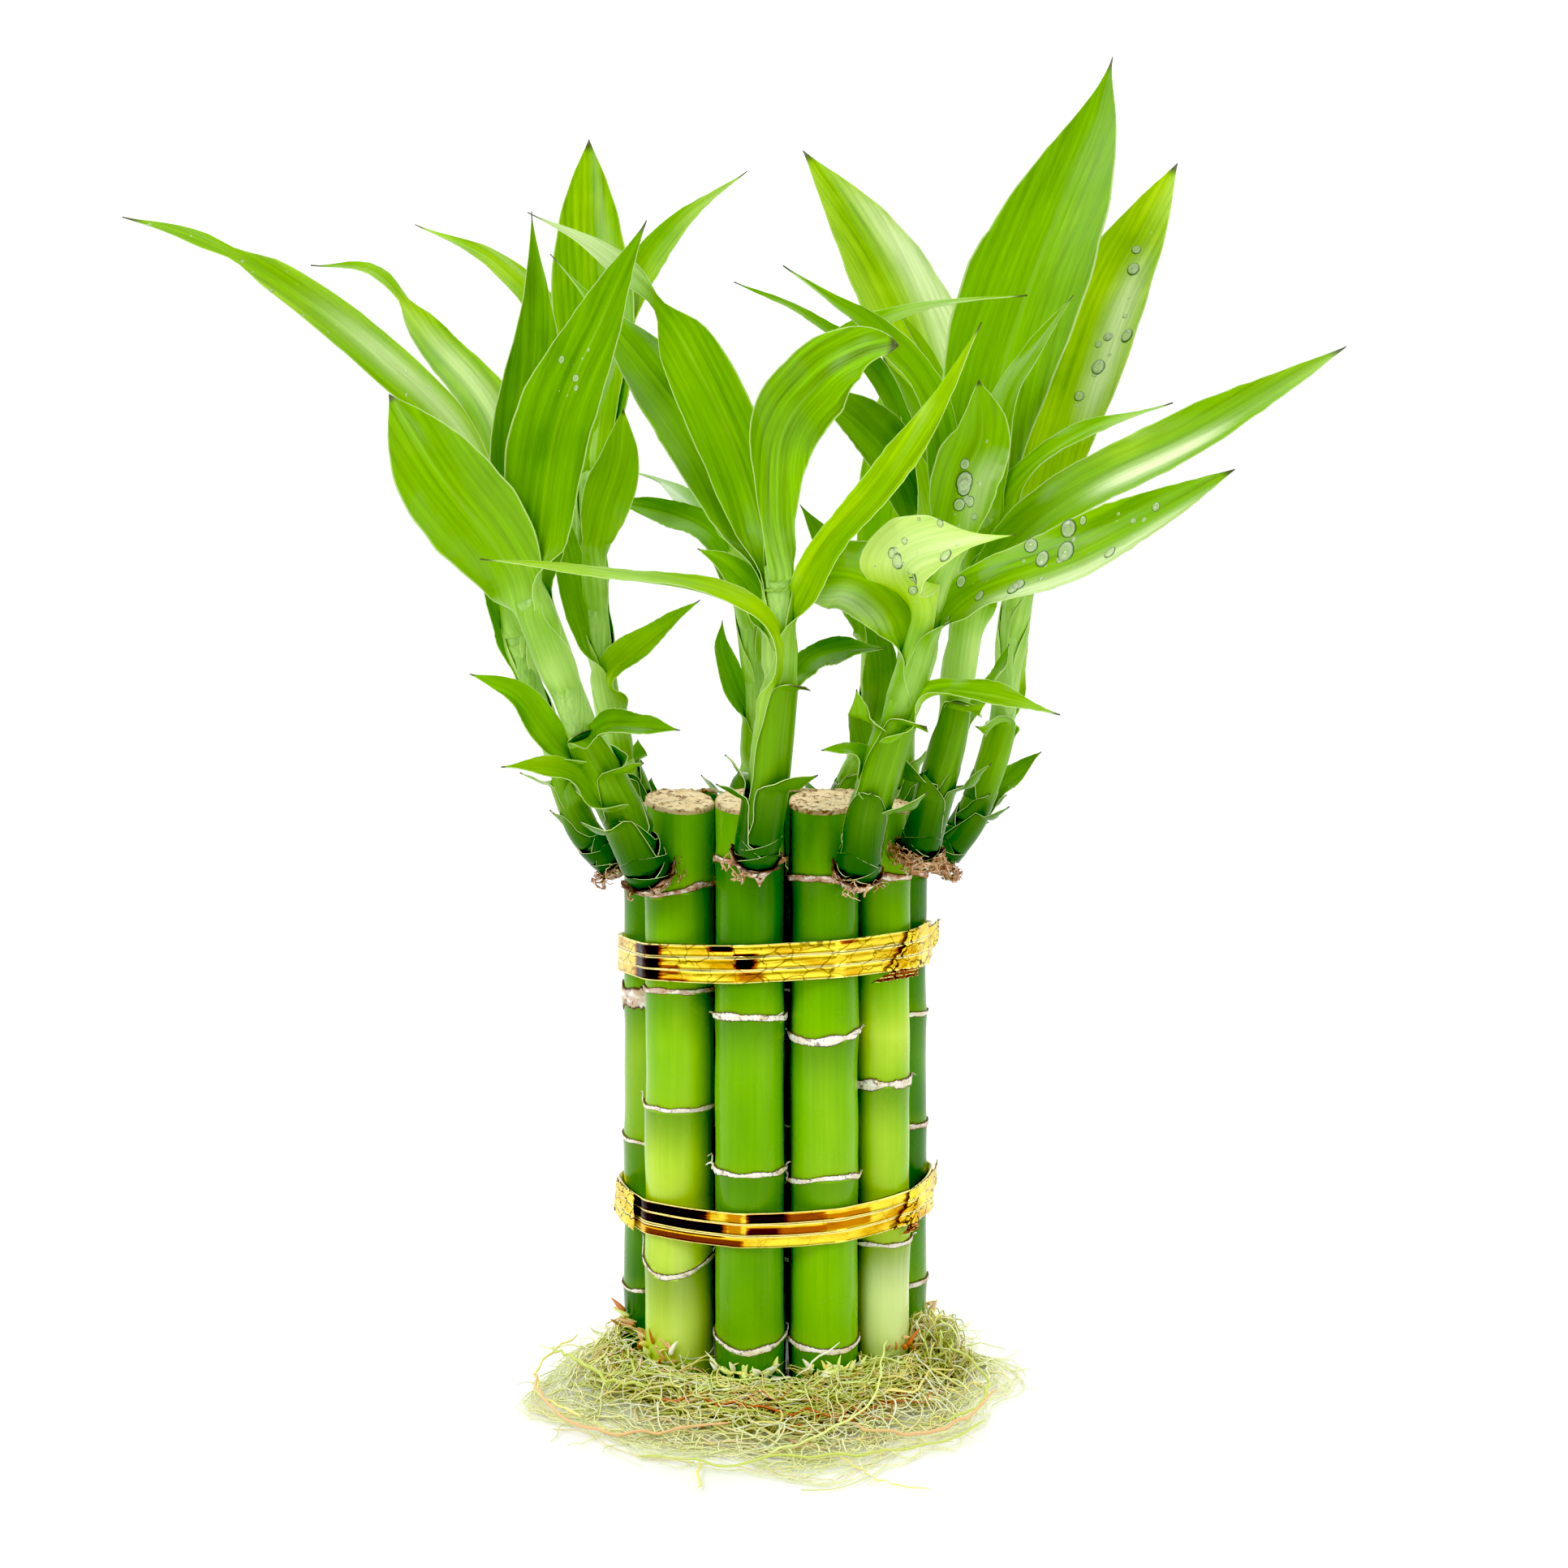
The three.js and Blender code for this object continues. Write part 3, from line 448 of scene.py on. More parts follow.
canes = [
    {"angle": -90, "diameter": 18.8, "shade": 0.25,
     "tones": [(0, 0.1), (35, 0.3), (60, 0.6), (90, 0.6), (118, 0.3), (150, 0.3)],
     "scars": [(20, 1, 20, 1.2, 0.1), (60, 1.4, 60, 1.2, 0.1), (97, 0, 0, 6.2, 0.5), (129, 2, 0, 1.6, 0.9)]},
    {"angle": -50.5, "diameter": 18.2, "shade": 0, "cutTurn": 66,
     "tones": [(0, 1), (28, 0.95), (40, 0.8), (60, 0.75), (95, 0.62), (104, 0.5), (118, 0.3), (150, 0.38)],
     "tabs": [(1, -42, 3.6, 0.6, 0.3), (0, -42, 6.5, 0.3, 0.22), (0, 124, 3, 0.5, 0.25),
              (2, 126, 1.6, 1, 0.3)],
     "scars": [(33.4, 4, 30, 1.5, 0.15), (72, 0.4, 40, 1.3, 0.2), (101.6, 0, 0, 1.5, 0.6),
               (128.5, 2.6, 10, 1.7, 0.8)]},
    {"angle": -11.5, "diameter": 17.8, "shade": 0.12, "cutTurn": 14,
     "tones": [(0, 0.38), (50, 0.36), (60, 0.42), (90, 0.5), (100, 0.3), (118, 0.02), (134, 0), (138, 0.3),
               (150, 0.3)],
     "tabs": [(1, -78, 4.8, 1, 0.25), (1, -70, 1.8, 1.2, 0.4), (1, 94, 2.2, 0.8, 0.3),
              (2, -76, 1.4, 0.8, 0.35), (2, 66, 2, 0.7, 0.3), (0, 96, 2.6, 0.4, 0.25)],
     "scars": [(16.9, 2.2, 8, 1.6, 0.1), (58, 0, 0, 1.5, 0.1), (96, -0.8, 0, 1.9, 0.1),
               (135.4, 6, 27, 1.9, 0.9, "sharp")]},
    {"angle": 22.5, "diameter": 17.8, "shade": 0.08, "cutTurn": -24,
     "tones": [(0, 0.36), (40, 0.38), (60, 0.42), (90, 0.46), (118, 0.2), (132, 0.25), (150, 0.34)],
     "tabs": [(1, -106, 4.6, 1.4, 0.5), (1, -98, 3.4, 1.8, 0.35), (1, -110, 3, 0.6, 0.45),
              (1, -108, -2.4, 0.8, 0.4), (2, -106, 1.8, 0.8, 0.3), (2, 66, 2, 0.8, 0.3),
              (1, 62, 1.8, 0.6, 0.3), (0, -106, 3, 0.8, 0.3)],
     "scars": [(15.2, 1.2, 0, 1.6, 0.1), (55, -2, 0, 1.4, 0.1), (92, 1.6, -45, 2.2, 0.1),
               (130.7, 4, 32, 1.9, 0.8, "sharp")]},
    {"angle": 56, "diameter": 17, "shade": 0.05,
     "tones": [(0, 1.15), (30, 1.1), (38, 0.7), (60, 0.66), (76, 0.7), (90, 1), (104, 0.62), (118, 0.5),
               (150, 0.5)],
     "tabs": [(1, 36, 2.2, 0.9, 0.3), (1, -60, 1.2, 1.1, 0.4), (0, 30, 1.8, 0.8, 0.3)],
     "scars": [(37, 0.5, 0, 1.3, 0.2), (77.5, 0, 0, 2.6, 0.2), (131, 1, 0, 1.8, 0.9)]},
    {"angle": 91, "diameter": 18.2, "shade": 0.22,
     "tones": [(0, 0.2), (50, 0.15), (90, 0.3), (118, 0.2), (150, 0.2)],
     "scars": [(20.5, 0, 0, 1.5, 0.4), (63, 0.5, 0, 1.8, 0.6), (92.5, 0, 0, 1.3, 0.3),
               (131, 1.5, 0, 2, 0.9)]},
    {"angle": 127, "diameter": 18.6, "shade": 0.1,
     "tones": [(0, 0.3), (60, 0.5), (110, 0.35), (150, 0.3)],
     "scars": [(24, 1.2, 20, 1.5, 0.1), (61, 0.6, -30, 1.4, 0.2), (97, 0, 0, 1.6, 0.3),
               (129, 2, 0, 1.6, 0.8)]},
    {"angle": 163, "diameter": 18.6, "shade": 0.1,
     "tones": [(0, 0.7), (50, 0.5), (110, 0.4), (150, 0.35)],
     "scars": [(18, 1.5, 0, 1.5, 0.1), (56, 0.8, 40, 1.4, 0.1), (95, -0.6, 0, 1.6, 0.3),
               (128, 2, 0, 1.6, 0.8)]},
    {"angle": 198.5, "diameter": 18.6, "shade": 0.2,
     "tones": [(0, 0.25), (60, 0.4), (110, 0.3), (150, 0.3)],
     "scars": [(27, 1.5, 0, 1.4, 0.1), (66, 0.8, -40, 1.3, 0.2), (100, 0.6, 0, 1.6, 0.3),
               (128, 2, 0, 1.6, 0.8)]},
    {"angle": 234, "diameter": 18.4, "shade": 0.15,
     "tones": [(0, 0.5), (60, 0.35), (110, 0.4), (150, 0.3)],
     "scars": [(22, 1.2, 0, 1.5, 0.1), (58, 0.8, 20, 1.4, 0.2), (94, 0.5, 0, 1.6, 0.3),
               (128, 2, 0, 1.6, 0.8)]},
]


def outwardTurn(cane):  # the heading from the ring's middle to the cane, from the X axis
    return math.radians(cane["angle"]) - math.pi / 2


def caneCentre(cane):
    turn = math.radians(cane["angle"])
    return np.array([math.sin(turn), -math.cos(turn)]) * caneForm["ringRadius"]


def scarHeight(cane, scar, turns):  # a scar's line round the cane, turns from its outer side
    height, dip, towards = scar[:3]
    away = np.abs((turns - math.radians(towards) + math.pi) % (2 * math.pi) - math.pi)
    lean = np.exp(-away / 0.3) if "sharp" in scar else np.maximum(np.cos(away), 0) ** 1.6
    return height - dip * lean + 0.25 * wanderRound(turns, int(height * 10 + cane["angle"]) + 500)


def caneSurface(cane, turns, heights):
    radius = cane["diameter"] / 2 - 0.1 - caneForm["flare"] * 0.5
    swell = 0
    lipBelow, lipAbove = caneForm["lips"]
    nearest = np.full(np.broadcast(turns, heights).shape, caneForm["farFromScar"])
    above = nearest.copy()
    for scar in cane["scars"]:
        gap = heights - scarHeight(cane, scar, turns)
        reach = np.maximum(np.abs(gap) - scar[3] / 2, 0)
        lip = np.where(gap < 0, np.exp(-reach / lipBelow), 0.7 * np.exp(-reach / lipAbove))
        swell = swell + caneForm["flare"] * lip
        nearest = np.minimum(nearest, np.where(gap < 0, -gap, caneForm["farFromScar"]))
        above = np.minimum(above, np.where(gap > 0, gap, caneForm["farFromScar"]))
    radius = radius + swell + 0.1 * wanderRound(turns, int(cane["angle"]) + 400, 2, 4)
    seed = int(cane["angle"]) + 700
    centre = caneCentre(cane)
    turns = turns + outwardTurn(cane)
    x = centre[0] + wander(heights / 22, seed) * caneForm["wanderReach"] + np.cos(turns) * radius
    y = centre[1] + wander(heights / 22, seed + 1) * caneForm["wanderReach"] + np.sin(turns) * radius
    return x, y, nearest, above


def onCane(cane, turns, heights):  # places on the cane's skin and the way out from it, seen from above
    x, y, _, _ = caneSurface(cane, turns, heights)
    flat = np.stack([x, y], -1)
    return flat, unit(flat - caneCentre(cane))


def gapShadeShare(cane, x, y):  # painted shade: how deep a place lies between neighbours or inside the ring
    gapShade = 0.5 * smooth(-np.hypot(x, y), -caneForm["ringRadius"] + 1, -caneForm["ringRadius"] + 6)
    for other in canes:
        if other is not cane:
            centre = caneCentre(other)
            gap = np.hypot(x - centre[0], y - centre[1]) - other["diameter"] / 2
            gapShade = np.maximum(gapShade, 1 - smooth(gap, 0.4, 3.4))
    return gapShade * 0.85


def caneParts(cane):
    turns = fullTurn(caneForm["sides"])
    length = caneForm["length"]
    levels = np.arange(0, length - caneForm["cutBlend"], caneForm["rowHeight"])
    fall = np.cos(turns - math.radians(cane.get("cutTurn", 0)))
    top = length - caneForm["cutSlope"] * fall * cane["diameter"] / 2
    climb = np.linspace(0, 1, caneForm["cutRows"] + 1)[1:, None]
    heights = np.vstack([np.repeat(levels[:, None], len(turns), 1), levels[-1] + (top - levels[-1]) * climb])
    x, y, below, above = caneSurface(cane, turns[None, :], heights)
    rings = np.stack([x, y, heights], -1)
    hue = np.interp(heights, *zip(*cane["tones"]))
    body = closedTube(rings, belowScar=below, aboveScar=above, caneHue=hue,
                      caneShade=cane["shade"], caneHidden=gapShadeShare(cane, x, y))
    centre = caneCentre(cane)
    shares = np.array(caneForm["cutRings"])[:, None]
    seed = int(cane["angle"]) + 900
    rough = caneForm["cutHills"] * wanderRound(turns[None, :] + shares * 9, seed, 3, 12)
    rough = rough + caneForm["cutGrain"] * wanderRound(turns[None, :] * 3 + shares * 31, seed + 1, 2, 9)
    ragged = caneForm["cutBurr"] * np.abs(wanderRound(turns, seed + 2, 5, 23))
    flat = rings[-1][None, :, :2] * shares[..., None] + centre * (1 - shares[..., None])
    lift = np.where(shares > 0.93, 0.35 + ragged[None, :], 0.25) + rough
    slope = length + (heights[-1] - length) * shares
    face = np.concatenate([flat, (slope + lift)[..., None]], -1)
    under = np.concatenate([flat, (slope - 0.6)[..., None]], -1)
    outer = rings[-1][None] + np.array([0, 0, -0.5])
    outer[..., :2] = centre + (outer[..., :2] - centre) * 1.012
    rim = np.concatenate([np.zeros((len(under), 1)), [[1.0]], smooth(shares, 0.9, 1.0)])
    return body, closedTube(np.concatenate([under[::-1], outer, face]), cutRim=rim)


scarForm = {
    "steps": 300,
    "backSteps": 130,  # on the canes that the others hide
    "stand": 0.5,
    "spikes": 1.45,
    "drips": 0.7,
    "lean": 0.6,
    "wrinkle": 0.22,
    # a scar's section: how far it stands off, its rise, and how brown its edge is
    "profile": [(-0.5, -1, 0), (0.35, -1, 0.9), (0.85, -0.6, 0.2), (1, 0.1, 0), (0.9, 0.65, 0.3),
                (0.75, 1, 1), (-0.5, 0.9, 1)],
    "tabRadii": (1, 1.15, 1.2, 1.1, 1, 0.95, 0.9, 0.85, 0.8, 0.75, 0.7, 0.65, 0.55, 0.3),
}
scarColours = {
    "paper": (255, 253, 244), "cream": (232, 216, 172), "tan": (176, 112, 66), "brown": (84, 42, 18),
}


def scarPart(cane, scar, order):
    turns = fullTurn(scarForm["steps" if np.cos(np.radians(cane["angle"])) > -0.1 else "backSteps"])
    seed = order * 37 + int(cane["angle"]) + 1300
    centre = scarHeight(cane, scar, turns)
    breadth = 0.92 + 0.42 * wanderRound(turns, seed, 2, 9) + 0.4 * wanderRound(turns, seed + 1, 12, 60)
    breadth = scar[3] / 2 * breadth
    peaks = np.maximum(wanderRound(turns, seed + 2, 6, 48), 0) ** 2 * scarForm["spikes"]
    drips = np.maximum(wanderRound(turns, seed + 3, 6, 44), 0) ** 2 * scarForm["spikes"] * scarForm["drips"]
    wrinkle = scarForm["wrinkle"] * wanderRound(turns, seed + 4, 10, 60)
    flat, away = onCane(cane, turns, centre)
    rings = []
    for stand, rise, _ in scarForm["profile"]:
        ragged = (0.22 + 0.18 * (rise > 0.5)) * wanderRound(turns, seed + 6 + int(rise * 10), 20, 100)
        height = centre + breadth * rise + ragged
        height = height + (peaks if rise > 0.7 else 0) - (drips if rise < -0.8 else 0)
        lean = peaks * scarForm["lean"] if rise > 0.5 and stand > 0 else 0
        out = scarForm["stand"] * stand + wrinkle * (stand > 0) + lean
        rings.append(np.column_stack([flat + away * out[:, None], height]))
    edges = np.array([edge for _, _, edge in scarForm["profile"]])
    return closedBand(np.stack(rings, 1), scarEdge=edges, scarBrown=scar[4])


def scarTab(cane, tab, order):  # a strip of dry paper that stands or hangs from a scar and curls away
    number, towards, rise, curl, thick = tab
    scar = cane["scars"][number]
    share = np.linspace(0, 1, len(scarForm["tabRadii"]))
    turns = np.radians(towards) + 0.06 * np.sin(share * 5 + order)
    level = scarHeight(cane, scar, turns)
    flat, away = onCane(cane, turns, level)
    out = 0.3 + curl * (share**2 * 1.4 + 0.25 * np.sin(share * 7 + order))
    height = level + rise * (share - 0.28 * np.maximum(share - 0.7, 0) * curl * 6)
    points = np.column_stack([flat + away * out[:, None], height])
    ridge = np.abs(np.sin(fullTurn(6)))[None, :]
    radii = thick * np.array(scarForm["tabRadii"])
    return tubeAlong(points, radii, 6, scarEdge=0.95 * (1 - ridge), scarBrown=scar[4] * 0.7 + 0.15)


def caneMaterial():
    material, place = newMaterial("glossyCane")
    hue = drifting("caneHue", addNoise(place, 34, 3, (1, 1, 0.45)), 0.9)
    base = paintSteps(hue, caneColours["darkest"], caneColours["brighter"])
    base = paint(base, addRange("belowScar", 0, 15, 0.5, 0), caneColours["belowScar"])
    base = paint(base, addRange("aboveScar", 0, 5, 0.35, 0), caneColours["aboveScar"])
    base = paint(base, "caneShade", caneColours["shade"])
    # painted shade between neighbouring canes and inside the ring
    base = paint(base, "caneHidden", caneColours["gapShade"])
    mask, height = useGroup(fibreGroup, stretched(place, (900, 900, 28)), 1.0, 0.5)
    base = grained(base, 0.35, mask)
    specks, _ = useGroup(speckGroup, place, 620.0, 0.16)
    base = paint(base, times(specks, 0.35), caneColours["speck"])
    # painted shadow: a thin dark line just under each scar's edge
    base = paint(base, addRange("belowScar", 0.1, 0.7, 0.7, 0), caneColours["scarShadowLine"])
    rough = addRange(addNoise(place, 60, 4), 0.3, 0.7, 0.2, 0.36)
    gloss = {"Specular IOR Level": 0.3, "Coat Weight": 0.18, "Coat Roughness": 0.12}
    return finishMaterial(material, base, rough, (height, 0.25, 0.12), gloss)


def scarMaterial():
    material, place = newMaterial("paperyScar")
    patch = addRange(addNoise(place, 260, 4), 0.4, 0.8)
    base = paint(linear(*scarColours["paper"]), patch, scarColours["cream"])
    streak = addRange(addNoise(place, 330, 3, (1, 1, 2.6)), 0.36, 0.54, 0.15, 1)
    base = paint(base, times("scarBrown", streak), scarColours["tan"])
    specks, height = useGroup(speckGroup, place, 560.0, 0.58)
    base = paint(base, times(specks, 0.75), scarColours["brown"])
    base = paint(base, times(addRange("scarEdge", 0.35, 0.8), 0.9), scarColours["brown"])
    return finishMaterial(material, base, 0.8, (height, 0.6, 0.35))


def cutMaterial():
    material, place = newMaterial("cutCaneEnd")
    base = paint(linear(*cutColours["pith"]), addNoise(place, 420, 5), cutColours["wood"])
    specks, height = useGroup(speckGroup, place, 480.0, 0.66)
    base = paint(base, times(specks, 0.9), cutColours["speck"])
    base = paint(base, times("cutRim", 0.3), cutColours["rim"])
    return finishMaterial(material, base, 0.85, (height, 0.8, 0.6))


def buildCanes():
    skin, paper, cutEnd = caneMaterial(), scarMaterial(), cutMaterial()
    for order, cane in enumerate(canes, 1):
        body, cut = caneParts(cane)
        node = f"cane_{order:02d}"
        addPiece(f"{node}_body", body, skin, node)
        addPiece(f"{node}_cut", cut, cutEnd, node)
        scars = [scarPart(cane, scar, index) for index, scar in enumerate(cane["scars"])]
        scars += [scarTab(cane, tab, index) for index, tab in enumerate(cane.get("tabs", []))]
        addPiece(f"{node}_scars", joinParts(scars), paper, node)
    print("canes built:", len(canes))


# Shoots, in the order of their canes. A stem runs through its points, from its foot's radius to its
# top's. A leaf or scale has its width and its points, from its base to its tip, and it may have:
# face, the way that its upper side looks, and twist about its line, in degrees
# widest, a share of its length, slim, which draws out the tail, and blunt, less for a rounder tip
# waist, where it narrows as it turns over: place, reach and depth
# stalk, its width at the base, sheath, the length round the stem, and wrap, half the turn round it
# hug, the share that keeps to the stem, and open, the share in which it leaves it
# tone, from -1, dark, to 1, yellow, and veins, 1 for strong ones
# band, a pale band of painted highlight, where light glances off: strength, the side it lies on (X and Z),
# place and spread across, start and end along
# drops: their count, place along and across, spread along and across, and largest radius

shootForm = {
    "stemRows": 70,
    "stemSides": 28,
    "bulb": 7,
    "footRings": 5,
    "bladeRows": 42,
    "sheathRows": 9,
    "scaleRows": 16,
    "columns": 17,
    "narrowColumns": 11,
    "thickness": 0.4,
    "cup": 0.28,
    "wave": 0.8,
    "ripple": 0.35,
    "midribDepth": 0.12,
    "sheathStand": 0.2,
    "sheathLayer": 0.14,
    "scaleLayer": 0.06,
    "coreInset": 1.6,
}
# Two of these colours are painted light: a pale band of glare on some blades, and a dark line of shade just
# inside the rims of scales and sheaths.
leafColours = {
    "darkest": (50, 106, 0),
    "brighter": [(-0.8, 0, (114, 169, 0)), (0, 0.9, (184, 222, 40)), (0.9, 1.6, (226, 248, 140))],
    "sheath": (122, 176, 46), "paleSheath": (176, 216, 112), "midrib": (176, 214, 96),
    "underside": (166, 206, 90), "foot": (20, 82, 8), "rimShadeLine": (16, 54, 0), "rim": (218, 236, 170),
    "band": (238, 253, 196), "tip": (66, 62, 42),
}
stemColours = {"green": (112, 168, 40), "pale": (182, 220, 122), "foot": (30, 84, 14)}


usualLeaf = {
    "widest": 0.42, "slim": 2.2, "waist": (0, 1, 0), "stalk": 5, "open": 0.2,
    "band": (0, 1, 0, 0, 1, 0, 1), "veins": 0,
}


def leaf(width, *points, **look):
    return {**usualLeaf, "width": width, "points": points, **look}


